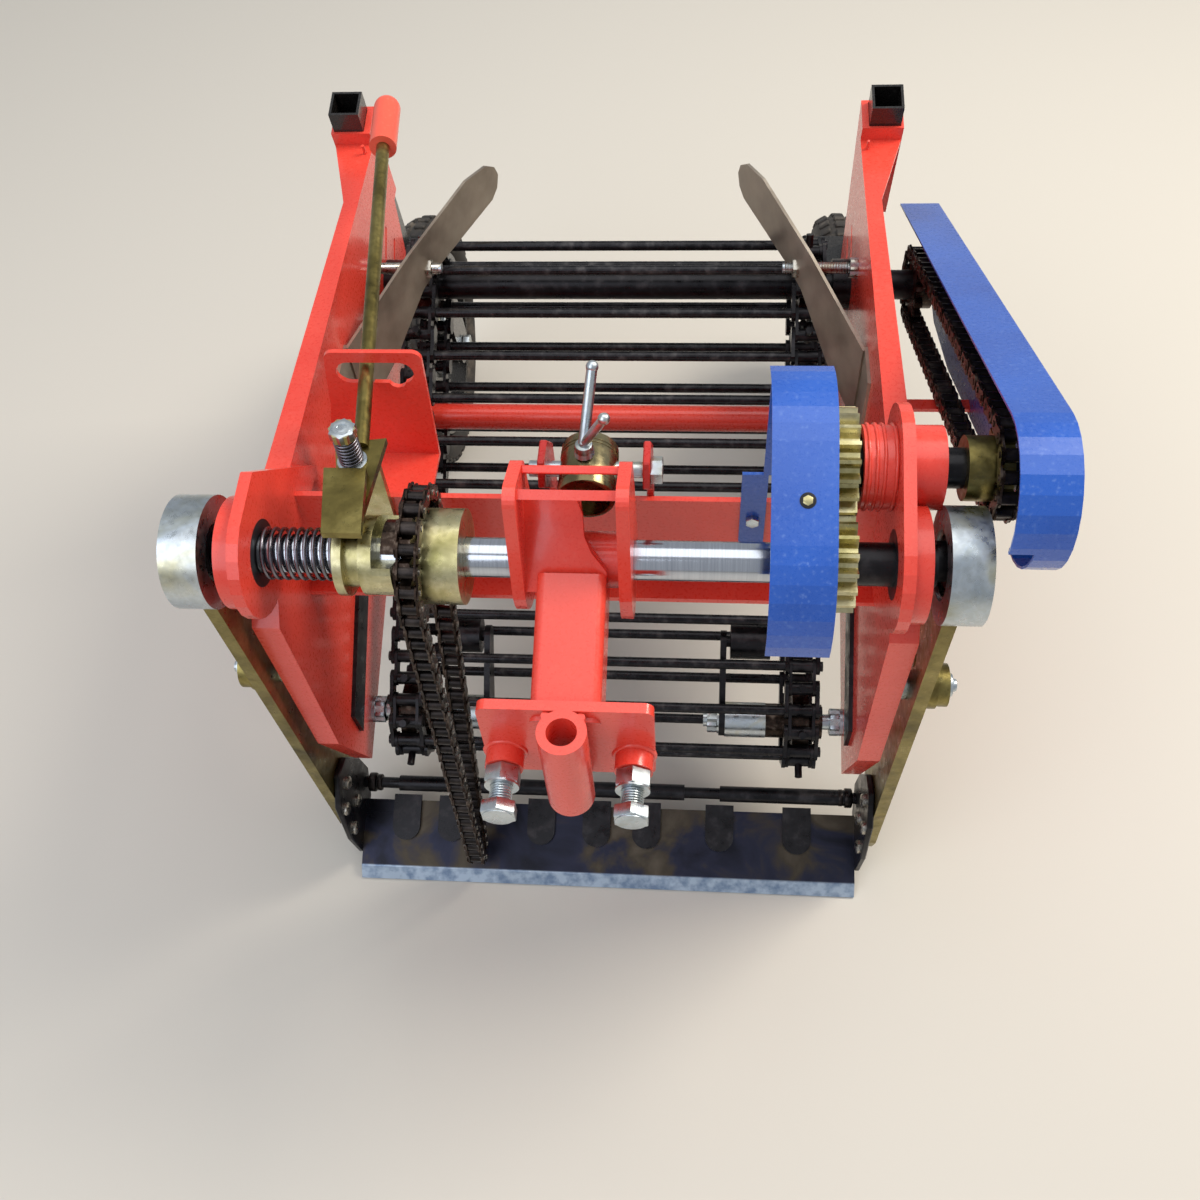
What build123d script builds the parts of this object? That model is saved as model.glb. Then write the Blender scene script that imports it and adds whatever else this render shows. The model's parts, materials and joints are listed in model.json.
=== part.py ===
"""Walk-behind potato harvester: swinging digging blade, rod-chain conveyor, side drives.

Row frame while drawing: +X right seen from the front, +Y to the rear, +Z up,
Y = 0 at the blade's front edge, Z = 0 at the ground. Everything is moved at the end
so that the origin lies under the middle of the whole machine. All sizes in mm.
Points written (Y, Z) lie in a plane across X. What comes in pairs is drawn for +X.
"""
import math
import os
from build123d import *

os.makedirs("parts", exist_ok=True)

# Fits between pieces
SEAT = 0.3
RUN = 0.05

# Main shaft, with an eccentric journal at each end
SHAFT = (47.0, 527.0)
SHAFT_R = 15.0
STUB_R = 16.0
JOURNAL_R = 15.0
ECC = 4.0
JOURNAL = (SHAFT[0] + ECC, SHAFT[1])

# Spur gears to the countershaft
GEAR_MODULE = 4.0
MAIN_TEETH = 16
COUNTER_TEETH = 20
GEAR_BACKLASH = 0.8
GEAR_X0, GEAR_X1 = 178.0, 206.0
CENTRE_DIST = GEAR_MODULE * (MAIN_TEETH + COUNTER_TEETH) / 2.0
COUNTER_ANGLE = 28.0
COUNTER = (
    SHAFT[0] + CENTRE_DIST * math.cos(math.radians(COUNTER_ANGLE)),
    SHAFT[1] + CENTRE_DIST * math.sin(math.radians(COUNTER_ANGLE)),
)
COUNTER_R = 15.0

# Rod-chain conveyor
WEB_PITCH = 22.225
WEB_TEETH = 11
WEB_LINKS = 52
WEB_SLOPE = 32.1
WEB_R = WEB_PITCH / (2.0 * math.sin(math.pi / WEB_TEETH))
WEB_CENTRES = (WEB_LINKS * WEB_PITCH - 2.0 * math.pi * WEB_R) / 2.0
FRONT_AXLE = (130.0, 146.0)
REAR_AXLE = (
    FRONT_AXLE[0] + WEB_CENTRES * math.cos(math.radians(WEB_SLOPE)),
    FRONT_AXLE[1] + WEB_CENTRES * math.sin(math.radians(WEB_SLOPE)),
)
REAR_R = 15.0
ROD_R = 5.0
ROD_FIRST = 12.0
CHAIN_X = 199.0
CHAIN_HALF = 17.0
LINK_T = 4.0
BAND_HALF = 8.5

# Side plates
PLATE_X = 243.0
PLATE_T = 4.0
PLATE_OUT = PLATE_X + PLATE_T
FLANGE_TOP = 23.0
FLANGE_FOOT = 19.0
FLANGE_REAR = 15.0
TIP = (84.0, 122.0)
FRONT_LOW = (40.0, 236.0)
FRONT_TOP = (36.0, 440.0)
NECK = (92.0, 500.0)
REAR_LOW = (596.0, 318.0)

# Legs, their sockets, forks and wheels
RAKE = 12.0
LEG_TOP = (582.0, 558.0)
LEG_SIDE = 30.0
LEG_WALL = 2.5
SOCKET_SIDE = LEG_SIDE + 2 * SEAT
SOCKET_WALL = 2.5
SOCKET_DROP = 22.0
SOCKET_LEN = 118.0
SOCKET_HALF = SOCKET_SIDE / 2 + SOCKET_WALL
LEG_X = PLATE_OUT + SOCKET_HALF
LEG_DIR = (-math.sin(math.radians(RAKE)), math.cos(math.radians(RAKE)))
WHEEL_R = 160.0
WHEEL_W = 54.0
WHEEL_IN = 226.0
WHEEL_OUT = WHEEL_IN + WHEEL_W
WHEEL = (LEG_TOP[0] + (LEG_TOP[1] - WHEEL_R) * math.tan(math.radians(RAKE)), WHEEL_R)
FORK_GAP = 5.0
FORK_T = 5.0
FORK_HALF = 24.0
AXLE_R = 10.0

# Swing arms and blade
ARM_T = 11.0
PIVOT = (56.0, 347.0)
PIVOT_R = 12.1
PIVOT_BOSS_R = 20.5
PIVOT_END = 305.0
HOUSING_X0, HOUSING_X1 = 268.0, 297.0
HOUSING_R = 43.5
HOUSING_BORE = 26.0
BLADE_HALF = 265.0
END_T = 6.0
ARM_IN = BLADE_HALF + END_T
HINGE = (92.0, 50.0)

# Chain drives
DRIVE_PITCH = 15.875
DRIVE_TEETH = 19
DRIVE_X = -113.0
DRIVE_R = DRIVE_PITCH / (2.0 * math.sin(math.pi / DRIVE_TEETH))
ROLLER = 5.1
SIDE_PITCH = 15.875
SIDE_TEETH = 13
SIDE_X = 311.0
SIDE_R = SIDE_PITCH / (2.0 * math.sin(math.pi / SIDE_TEETH))

# Cross beam behind the shaft
BEAM_Y = 126.0
BEAM_T = 5.0
BEAM_TOP = 500.0
BEAM_LOW = 397.0
BEAM_LIP = 27.0

# Drawbar, hitch pipe and the trunnion of its adjusting screw
DRAW_X = 4.0
HITCH_Y = -78.0
HITCH_T = 8.0
HITCH_Z0, HITCH_Z1 = 430.0, 520.0
PIPE_R = 17.5
PIPE_BORE = 10.75
PIPE_Z0, PIPE_Z1 = 424.0, 520.0
PIPE_Y = HITCH_Y - PIPE_R + 1.0
BOLT_X = 47.0
BOLT_Z = 458.0
TRUN_X = 10.0
TRUN = (100.0, 582.0)
TRUN_R = 22.5
TRUN_H = 46.0
TRUN_PIN_R = 6.1

# Clutch lever, whose pivot is at (X, Y)
LEVER_PIN = (-168.0, 108.0)
LEVER_Z = 557.0


def sind(a):
    return math.sin(math.radians(a))


def cosd(a):
    return math.cos(math.radians(a))


def box(x0, x1, y0, y1, z0, z1):
    """Box between the given limits."""
    b = Box(abs(x1 - x0), abs(y1 - y0), abs(z1 - z0))
    return Pos((x0 + x1) / 2, (y0 + y1) / 2, (z0 + z1) / 2) * b


def cyl_x(r, x0, x1, yz):
    """Cylinder along X."""
    c = Rot(0, 90, 0) * Cylinder(r, abs(x1 - x0))
    return Pos((x0 + x1) / 2, yz[0], yz[1]) * c


def cyl_y(r, y0, y1, x, z):
    """Cylinder along Y."""
    return Pos(x, (y0 + y1) / 2, z) * (Rot(90, 0, 0) * Cylinder(r, abs(y1 - y0)))


def cyl_z(r, z0, z1, x, y):
    """Cylinder along Z."""
    return Pos(x, y, (z0 + z1) / 2) * Cylinder(r, abs(z1 - z0))


def ring_x(ro, ri, x0, x1, yz):
    """Ring along X."""
    return cyl_x(ro, x0, x1, yz) - cyl_x(ri, min(x0, x1) - 1, max(x0, x1) + 1, yz)


def rod_between(p, q, r):
    """Round bar from p to q."""
    a = Vector(*p)
    d = Vector(*q) - a
    return extrude(Plane(origin=a, z_dir=d) * Circle(r), d.length)


def plate(points, x0, x1, holes=(), corner=0.0):
    """Plate in a YZ outline between x0 and x1, holes as (y, z, r)."""
    face = make_face(Polyline(*points, close=True).edges())
    if corner:
        face = fillet(face.vertices(), corner)
    for y, z, r in holes:
        face -= Pos(y, z) * Circle(r)
    return extrude(Plane.YZ.offset(min(x0, x1)) * Sketch(face.wrapped), abs(x1 - x0))


def plan(points, z0, z1):
    """Plate in an XY outline between z0 and z1."""
    face = make_face(Polyline(*points, close=True).edges())
    return extrude(Plane.XY.offset(z0) * Sketch(face.wrapped), z1 - z0)


def hull_points(circles, step=15):
    """Outline round several circles (y, z, r) as points of their convex hull."""
    pts = []
    for y, z, r in circles:
        for k in range(int(360 / step)):
            pts.append((y + r * cosd(k * step), z + r * sind(k * step)))
    pts = sorted(set((round(a, 3), round(b, 3)) for a, b in pts))

    def half(seq):
        out = []
        for p in seq:
            while len(out) > 1 and (
                (out[-1][0] - out[-2][0]) * (p[1] - out[-2][1])
                - (out[-1][1] - out[-2][1]) * (p[0] - out[-2][0])
            ) <= 0:
                out.pop()
            out.append(p)
        return out[:-1]

    return half(pts) + half(pts[::-1])


def strip_face(points, t):
    """Sheet strip of thickness t on one side of a line of points, as a closed outline."""
    left, right = [], []
    n = len(points)
    for i, (y, z) in enumerate(points):
        a = points[max(i - 1, 0)]
        b = points[min(i + 1, n - 1)]
        d1 = (y - a[0], z - a[1])
        d2 = (b[0] - y, b[1] - z)
        if i == 0:
            d1 = d2
        if i == n - 1:
            d2 = d1
        l1 = math.hypot(*d1)
        l2 = math.hypot(*d2)
        n1 = (-d1[1] / l1, d1[0] / l1)
        n2 = (-d2[1] / l2, d2[0] / l2)
        m = (n1[0] + n2[0], n1[1] + n2[1])
        k = t / (1.0 + n1[0] * n2[0] + n1[1] * n2[1])
        left.append((y, z))
        right.append((y + m[0] * k, z + m[1] * k))
    return left + right[::-1]


def arc_points(yz, r, a0, a1, n=8):
    """Points on an arc from angle a0 to a1."""
    return [
        (yz[0] + r * cosd(a0 + (a1 - a0) * i / n), yz[1] + r * sind(a0 + (a1 - a0) * i / n))
        for i in range(n + 1)
    ]


def belt_loop(c1, r1, c2, r2, grow=0.0):
    """Closed loop round two circles as a face, grown by a margin."""
    d = math.hypot(c2[0] - c1[0], c2[1] - c1[1])
    base = math.degrees(math.atan2(c2[1] - c1[1], c2[0] - c1[0]))
    lean = math.degrees(math.acos((r1 - r2) / d))
    ra, rb = r1 + grow, r2 + grow

    def on(c, r, a):
        return (c[0] + r * cosd(a), c[1] + r * sind(a))

    p1, p2 = on(c1, ra, base + lean), on(c2, rb, base + lean)
    p3, p4 = on(c2, rb, base - lean), on(c1, ra, base - lean)
    edges = [
        Line(p1, p2),
        ThreePointArc(p2, on(c2, rb, base), p3),
        Line(p3, p4),
        ThreePointArc(p4, on(c1, ra, base + 180), p1),
    ]
    return make_face(Wire([e.edge() for e in edges]).edges())


def loop_band(c1, r1, c2, r2, half, x0, x1):
    """Flat band following a chain's pitch line."""
    face = belt_loop(c1, r1, c2, r2, half) - belt_loop(c1, r1, c2, r2, -half)
    return extrude(Plane.YZ.offset(x0) * Sketch(face.wrapped), x1 - x0)


def run_point(c1, r1, c2, r2, side, f):
    """Point on a straight run of a loop round two circles; side +1 or -1."""
    d = math.hypot(c2[0] - c1[0], c2[1] - c1[1])
    base = math.degrees(math.atan2(c2[1] - c1[1], c2[0] - c1[0]))
    a = base + side * math.degrees(math.acos((r1 - r2) / d))
    p = (c1[0] + r1 * cosd(a), c1[1] + r1 * sind(a))
    q = (c2[0] + r2 * cosd(a), c2[1] + r2 * sind(a))
    return (p[0] + (q[0] - p[0]) * f, p[1] + (q[1] - p[1]) * f)


def toothed(n, pitch, roller, x0, x1, yz, bore, phase=0.0):
    """Chain sprocket with pointed teeth, bore right through."""
    rp = pitch / (2.0 * math.sin(math.pi / n))
    root = rp - roller
    tip = rp + roller * 0.55
    w = 360.0 / n
    # one tooth as (share of the pitch angle, radius)
    profile = ((-0.13, tip), (0.13, tip), (0.32, root + 0.6), (0.5, root), (0.68, root + 0.6))
    pts = []
    for k in range(n):
        for f, r in profile:
            a = phase + (k + f) * w
            pts.append((yz[0] + r * cosd(a), yz[1] + r * sind(a)))
    return plate(pts, x0, x1, [(yz[0], yz[1], bore)])


def gear(n, yz, bore, phase):
    """Spur gear with straight-sided teeth thinned by the backlash."""
    rp = GEAR_MODULE * n / 2.0
    ra = rp + GEAR_MODULE * 0.95
    rr = rp - GEAR_MODULE * 1.2
    half = math.degrees((math.pi * GEAR_MODULE / 2.0 - GEAR_BACKLASH) / 2.0 / rp)
    slope = math.degrees(math.tan(math.radians(20.0)) * GEAR_MODULE / rp)
    # one tooth as (degrees from its middle, radius)
    profile = (
        (-half - slope * 1.15, rr), (-half, rp), (-half + slope, ra),
        (half - slope, ra), (half, rp), (half + slope * 1.15, rr),
    )
    pts = []
    for k in range(n):
        for f, r in profile:
            a = phase + 360.0 * k / n + f
            pts.append((yz[0] + r * cosd(a), yz[1] + r * sind(a)))
    return plate(pts, GEAR_X0, GEAR_X1, [(yz[0], yz[1], bore)])


def hex_x(af, x0, x1, yz):
    """Hexagon bar along X, across flats af."""
    r = af / 2 / cosd(30)
    return plate([(yz[0] + r * cosd(60 * k), yz[1] + r * sind(60 * k)) for k in range(6)], x0, x1)


def hex_y(af, y0, y1, x, z):
    """Hexagon bar along Y, across flats af."""
    s = extrude(RegularPolygon(af / 2 / cosd(30), 6), abs(y1 - y0))
    return Pos(x, max(y0, y1), z) * (Rot(90, 0, 0) * s)


def mirrored(shape):
    return mirror(shape, Plane.YZ)


def pair(*shapes):
    """Shapes and their mirror images as one compound."""
    return Compound(children=list(shapes) + [mirrored(s) for s in shapes])


# Side plates: a web, its flange turned outwards, and the socket of the leg


def leg_point(down, rear=0.0):
    """Point (Y, Z) a distance below the leg's top along it, and one to its rear."""
    return (
        LEG_TOP[0] - LEG_DIR[0] * down + LEG_DIR[1] * rear,
        LEG_TOP[1] - LEG_DIR[1] * down - LEG_DIR[0] * rear,
    )


def leg_block(side, d0, d1):
    """Square bar along the leg's axis from d0 to d1 below its top."""
    a = leg_point(d0)
    pl = Plane(origin=(LEG_X, a[0], a[1]), x_dir=(1, 0, 0), z_dir=(0, -LEG_DIR[0], -LEG_DIR[1]))
    return extrude(pl * Rectangle(side, side), d1 - d0)


STUD_AT = (470.0, 446.0)
STUD_R = 5.0
STUB_BOLT_R = 8.0
# Slots above the rear bearing, as the ends (Y, Z) of each
SLOTS = (((525.0, 415.0), (548.0, 434.0)), ((549.0, 389.0), (567.0, 404.0)))
SLOT_R = 2.6
SOCKET_FRONT = leg_point(SOCKET_DROP + 15.0, -SOCKET_HALF)
SOCKET_OUT = LEG_X + SOCKET_HALF


def side_plate():
    """Web, flange and leg socket of the right side, as one weldment."""
    web = plate(
        [TIP, REAR_LOW, leg_point(SOCKET_DROP, SOCKET_HALF), leg_point(SOCKET_DROP, -SOCKET_HALF),
         SOCKET_FRONT, NECK, FRONT_TOP, FRONT_LOW],
        PLATE_X, PLATE_OUT,
        [(*FRONT_AXLE, STUB_BOLT_R), (*REAR_AXLE, REAR_R), (*STUD_AT, STUD_R)],
    )
    for p, q in SLOTS:
        web -= plate(hull_points([(*p, SLOT_R), (*q, SLOT_R)]), PLATE_X - 1, PLATE_OUT + 1)
    # the top flange narrows to the rear, then widens into a gusset at the socket
    top = plate(strip_face([SOCKET_FRONT, NECK, FRONT_TOP], PLATE_T), PLATE_X, SOCKET_OUT)
    gusset_y = SOCKET_FRONT[0] - 88.0
    top &= plan(
        [(PLATE_X, -50), (PLATE_X + FLANGE_TOP, -50), (PLATE_X + FLANGE_TOP, FRONT_TOP[0]),
         (PLATE_X + FLANGE_REAR, gusset_y), (SOCKET_OUT, SOCKET_FRONT[0] + 2), (PLATE_X, SOCKET_FRONT[0] + 2)],
        0, 700,
    )
    # the front flange narrows to the foot
    front = plate(strip_face([FRONT_TOP, FRONT_LOW, TIP], PLATE_T), PLATE_X, PLATE_X + FLANGE_TOP)
    taper = make_face(Polyline(
        (PLATE_X, 0), (PLATE_X + FLANGE_FOOT - 5, 0), (PLATE_X + FLANGE_FOOT, TIP[1]),
        (PLATE_X + FLANGE_TOP, FRONT_TOP[1]), (PLATE_X + FLANGE_TOP, 600), (PLATE_X, 600), close=True).edges())
    front &= extrude(Plane.XZ.offset(-400) * Sketch(taper.wrapped), 500)
    body = web + top + front
    socket = leg_block(2 * SOCKET_HALF, SOCKET_DROP, SOCKET_DROP + SOCKET_LEN)
    hole = leg_block(SOCKET_SIDE, SOCKET_DROP - 12, SOCKET_DROP + SOCKET_LEN + 12)
    return body + socket - hole


side_right = side_plate()
side_left = mirrored(side_right)

# Bearing ears on the side plates
EAR_T = 9.0
EAR_R = 50.0
EAR_RING_R = 43.0
EAR_RING_X = PLATE_OUT + 9.0
BEARING_R = 26.0
COUNTER_BEARING_R = 24.0
COUNTER_BOSS_R = 31.0
COUNTER_BOSS_X0, COUNTER_BOSS_X1 = 210.0, 268.0
# rear corners of the left ear, as (Y, Z, r)
EAR_LEFT_REAR = ((79.0, 577.0, 4.0), (178.0, 472.0, 4.0))
ear_left = plate(hull_points([(*SHAFT, EAR_R), *EAR_LEFT_REAR]), -PLATE_X, -PLATE_X + EAR_T)
ear_left += cyl_x(EAR_RING_R, -EAR_RING_X, -PLATE_X, SHAFT)
ear_left -= cyl_x(BEARING_R, -EAR_RING_X - 1, -PLATE_X + EAR_T + 1, SHAFT)
ear_right = plate(
    hull_points([(*SHAFT, EAR_R), (*COUNTER, EAR_R - 3), (SHAFT[0] + 40, SHAFT[1] - 50, 40)]),
    PLATE_X - EAR_T, PLATE_X,
)
ear_right += cyl_x(EAR_RING_R, PLATE_X, EAR_RING_X, SHAFT)
ear_right += cyl_x(COUNTER_BOSS_R, COUNTER_BOSS_X0, COUNTER_BOSS_X1, COUNTER)
ear_right -= cyl_x(COUNTER_BEARING_R, COUNTER_BOSS_X0 - 1, COUNTER_BOSS_X1 + 1, COUNTER)
ear_right -= cyl_x(BEARING_R, PLATE_X - EAR_T - 1, EAR_RING_X + 1, SHAFT)
beam_room = box(PLATE_X - EAR_T - 1, PLATE_X, BEAM_Y, BEAM_Y + BEAM_T, BEAM_LOW - BEAM_T, BEAM_TOP)
beam_room += box(PLATE_X - EAR_T - 1, PLATE_X, BEAM_Y + BEAM_T - BEAM_LIP, BEAM_Y + BEAM_T, 300, BEAM_LOW)
ear_right -= beam_room
ear_left -= mirrored(beam_room)
side_right -= cyl_x(EAR_RING_R, PLATE_X - 1, EAR_RING_X, SHAFT)
side_right -= cyl_x(COUNTER_BOSS_R, PLATE_X - 1, EAR_RING_X, COUNTER)
side_left -= cyl_x(EAR_RING_R, -EAR_RING_X, -PLATE_X + 1, SHAFT)

# Bearings of the two shafts
BEARING_IN = 2.0
counter_bearing = ring_x(COUNTER_BEARING_R, COUNTER_R + RUN, 0, 14, COUNTER)
shaft_bearings = Compound(children=[
    ring_x(BEARING_R, STUB_R + RUN, -EAR_RING_X + BEARING_IN, -PLATE_X + EAR_T, SHAFT),
    ring_x(BEARING_R, STUB_R + RUN, PLATE_X - EAR_T, EAR_RING_X - BEARING_IN, SHAFT),
    Pos(COUNTER_BOSS_X0 + BEARING_IN, 0, 0) * counter_bearing,
    Pos(COUNTER_BOSS_X1 - BEARING_IN - 14, 0, 0) * counter_bearing,
])

# Cross beam, an upright plate with a lip to the front at its foot
beam = box(-PLATE_X, PLATE_X, BEAM_Y, BEAM_Y + BEAM_T, BEAM_LOW, BEAM_TOP)
beam += box(-PLATE_X, PLATE_X, BEAM_Y + BEAM_T - BEAM_LIP, BEAM_Y + BEAM_T, BEAM_LOW - BEAM_T, BEAM_LOW)


def web_at(s, t):
    """Point (Y, Z) beside the conveyor: s up its slope from the front axle, t above its middle."""
    return (
        FRONT_AXLE[0] + s * cosd(WEB_SLOPE) - t * sind(WEB_SLOPE),
        FRONT_AXLE[1] + s * sind(WEB_SLOPE) + t * cosd(WEB_SLOPE),
    )


# Cross tube between the conveyor's two runs, and the wear strips along its sides
TUBE_S = 312.0
cross_tube = ring_x(13.5, 11, -PLATE_X, PLATE_X, web_at(TUBE_S, 0))
STRIP_T = 4.0
STRIP_LOW, STRIP_HIGH = 54.0, 88.0
strip = plate(
    [web_at(-20, STRIP_LOW), web_at(300, STRIP_LOW), web_at(276, STRIP_HIGH), web_at(-4, STRIP_HIGH)],
    PLATE_X - STRIP_T, PLATE_X,
)


def web_line(s):
    """Point (Y, Z) on the conveyor's pitch line, s along it from the front of the upper run."""
    half = math.pi * WEB_R
    s = s % (WEB_LINKS * WEB_PITCH)
    if s < WEB_CENTRES:
        return web_at(s, WEB_R)
    s -= WEB_CENTRES
    if s < half:
        a = WEB_SLOPE + 90 - math.degrees(s / WEB_R)
        return (REAR_AXLE[0] + WEB_R * cosd(a), REAR_AXLE[1] + WEB_R * sind(a))
    s -= half
    if s < WEB_CENTRES:
        return web_at(WEB_CENTRES - s, -WEB_R)
    s -= WEB_CENTRES
    a = WEB_SLOPE - 90 - math.degrees(s / WEB_R)
    return (FRONT_AXLE[0] + WEB_R * cosd(a), FRONT_AXLE[1] + WEB_R * sind(a))


# Conveyor: two chains of two link bands each, a rod at every second link
ROD_PLACES = [web_line(ROD_FIRST + 2 * WEB_PITCH * k) for k in range(WEB_LINKS // 2)]
ROD_END = CHAIN_X + CHAIN_HALF + 3.0
conveyor_rods = Compound(children=[cyl_x(ROD_R, -ROD_END, ROD_END, p) for p in ROD_PLACES])
chain_bands = []
for x0 in (CHAIN_X - CHAIN_HALF, CHAIN_X + CHAIN_HALF - LINK_T):
    band = loop_band(FRONT_AXLE, WEB_R, REAR_AXLE, WEB_R, BAND_HALF, x0, x0 + LINK_T)
    for p in ROD_PLACES:
        band -= cyl_x(ROD_R, x0 - 1, x0 + LINK_T + 1, p)
    chain_bands.append(band)

# Front idlers on stub bolts
IDLER_R = WEB_R - ROD_R - SEAT
IDLER_HALF = 8.0
STUB_BODY_R = 12.5
HUB_R = 17.5
SPACER_X0, SPACER_X1 = 124.0, 165.0
SPACER_R = 18.0
STRAP_T = 6.0
HUB_END = CHAIN_X + CHAIN_HALF + 6.0
idler = ring_x(IDLER_R, STUB_BODY_R, CHAIN_X - IDLER_HALF, CHAIN_X + IDLER_HALF, FRONT_AXLE)
idler += ring_x(HUB_R, STUB_BODY_R, SPACER_X1, HUB_END, FRONT_AXLE)
spacer = ring_x(SPACER_R, STUB_BODY_R, SPACER_X0, SPACER_X1, FRONT_AXLE)
STRAP_X = SPACER_X0 - STRAP_T
stub = cyl_x(STUB_BODY_R, SPACER_X0, HUB_END, FRONT_AXLE)
stub += cyl_x(STUB_BOLT_R, STRAP_X - 16, PLATE_OUT + 16, FRONT_AXLE)
# nuts and washers on the stub bolt, as (across flats or 0 for a washer, x0, x1)
for af, x0, x1 in (
    (24, STRAP_X - 12, STRAP_X - 2), (0, STRAP_X - 2, STRAP_X),
    (24, PLATE_X - 13, PLATE_X - 3), (0, PLATE_X - 3, PLATE_X), (24, PLATE_OUT, PLATE_OUT + 10),
):
    stub += hex_x(af, x0, x1, FRONT_AXLE) if af else cyl_x(14, x0, x1, FRONT_AXLE)

# Rollers under the carrying run, on straps at the idlers' inner ends
ROLLER_R = 18.0
ROLLER_AT = web_at(80.0, WEB_R - ROD_R - ROLLER_R - 0.4)
strap = plate(
    hull_points([(*FRONT_AXLE, 17), (*ROLLER_AT, 11)]), STRAP_X, SPACER_X0, [(*FRONT_AXLE, STUB_BOLT_R)],
)
support = strap + cyl_x(6, SPACER_X0, 170, ROLLER_AT) + cyl_x(ROLLER_R, SPACER_X0 + 4, 168, ROLLER_AT)

# Driven rear shaft with its sprockets and bearing blocks
SIDE_T = 8.0
REAR_END = SIDE_X + SIDE_T / 2 + 16.0
REAR_PHASE = 9.0
rear_shaft = cyl_x(REAR_R, -PLATE_X - 14, REAR_END, REAR_AXLE)
rear_block = ring_x(26, REAR_R, PLATE_X - 18, PLATE_X, REAR_AXLE)
rear_wheel = ring_x(IDLER_R, REAR_R, CHAIN_X - IDLER_HALF, CHAIN_X + IDLER_HALF, REAR_AXLE)
side_sprocket = toothed(
    SIDE_TEETH, SIDE_PITCH, ROLLER, SIDE_X - SIDE_T / 2, SIDE_X + SIDE_T / 2, REAR_AXLE, REAR_R, REAR_PHASE)
side_sprocket += ring_x(24, REAR_R, SIDE_X + SIDE_T / 2, REAR_END - 4, REAR_AXLE)
rear_sprockets = Compound(children=[rear_wheel, mirrored(rear_wheel), side_sprocket])

# Side chain from the countershaft to the rear shaft: two bands, rollers on the runs and
# five in the rear sprocket's gaps
SIDE_HALF = 6.5
BAND_IN, BAND_OUT = 6.0, 8.5
GAP_ROLLER = 4.0
side_chain = None
for x0, x1 in ((SIDE_X - BAND_OUT, SIDE_X - BAND_IN), (SIDE_X + BAND_IN, SIDE_X + BAND_OUT)):
    band = loop_band(COUNTER, SIDE_R, REAR_AXLE, SIDE_R, SIDE_HALF, x0, x1)
    side_chain = band if side_chain is None else side_chain + band
for side in (1, -1):
    for f in (0.2, 0.4, 0.6, 0.8):
        pt = run_point(COUNTER, SIDE_R, REAR_AXLE, SIDE_R, side, f)
        side_chain += cyl_x(4.6, SIDE_X - BAND_IN, SIDE_X + BAND_IN, pt)
for k in (-3, -2, -1, 0, 1):
    a = REAR_PHASE + 360.0 * (k - 0.5) / SIDE_TEETH
    r = SIDE_R - ROLLER + GAP_ROLLER + SEAT
    pt = (REAR_AXLE[0] + r * cosd(a), REAR_AXLE[1] + r * sind(a))
    side_chain += cyl_x(GAP_ROLLER, SIDE_X - BAND_IN, SIDE_X + BAND_IN, pt)

# Input chain, hanging loose from the drive sprocket with its end swung outwards
CHAIN_LOW = (18.0, 46.0)
LOW_R = 9.0
LEAN = 2.4
DRIVE_T = 8.0
DRIVE_IN, DRIVE_OUT = 7.2, 9.7
LINK_HALF = 7.0
input_chain = None
for x0, x1 in ((-DRIVE_OUT, -DRIVE_IN), (DRIVE_IN, DRIVE_OUT)):
    band = loop_band(SHAFT, DRIVE_R, CHAIN_LOW, LOW_R, LINK_HALF, x0, x1)
    input_chain = band if input_chain is None else input_chain + band
for side in (1, -1):
    for f in (0.16, 0.32, 0.48, 0.64, 0.8, 0.96):
        pt = run_point(SHAFT, DRIVE_R, CHAIN_LOW, LOW_R, side, f)
        input_chain += cyl_x(5.0, -DRIVE_IN, DRIVE_IN, pt)
input_chain = Pos(DRIVE_X, 0, SHAFT[1]) * (Rot(0, LEAN, 0) * (Pos(0, 0, -SHAFT[1]) * input_chain))

# Main shaft: a polished bar between two black stubs that carry the eccentric journals
BAR_LEFT = -PLATE_X + EAR_T + 1.0
ECC_X = 264.0
main_shaft = cyl_x(SHAFT_R, BAR_LEFT, GEAR_X1, SHAFT)
eccentric_stubs = Compound(children=[
    cyl_x(STUB_R, GEAR_X1, ECC_X, SHAFT) + cyl_x(JOURNAL_R, ECC_X, HOUSING_X1, JOURNAL),
    cyl_x(STUB_R, -ECC_X, BAR_LEFT, SHAFT) + cyl_x(JOURNAL_R, -HOUSING_X1, -ECC_X, JOURNAL),
])
main_gear = gear(MAIN_TEETH, SHAFT, SHAFT_R, COUNTER_ANGLE)
main_gear += ring_x(25, SHAFT_R, GEAR_X0 - 18, GEAR_X0, SHAFT)
counter_gear = gear(COUNTER_TEETH, COUNTER, COUNTER_R, COUNTER_ANGLE + 180 + 180.0 / COUNTER_TEETH)
counter_shaft = cyl_x(COUNTER_R, GEAR_X0 - 6, REAR_END - 8, COUNTER)
counter_sprocket = toothed(
    SIDE_TEETH, SIDE_PITCH, ROLLER, SIDE_X - SIDE_T / 2, SIDE_X + SIDE_T / 2, COUNTER, COUNTER_R, 4)
counter_sprocket += ring_x(24, COUNTER_R, SIDE_X - 27, SIDE_X - SIDE_T / 2, COUNTER)

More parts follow.
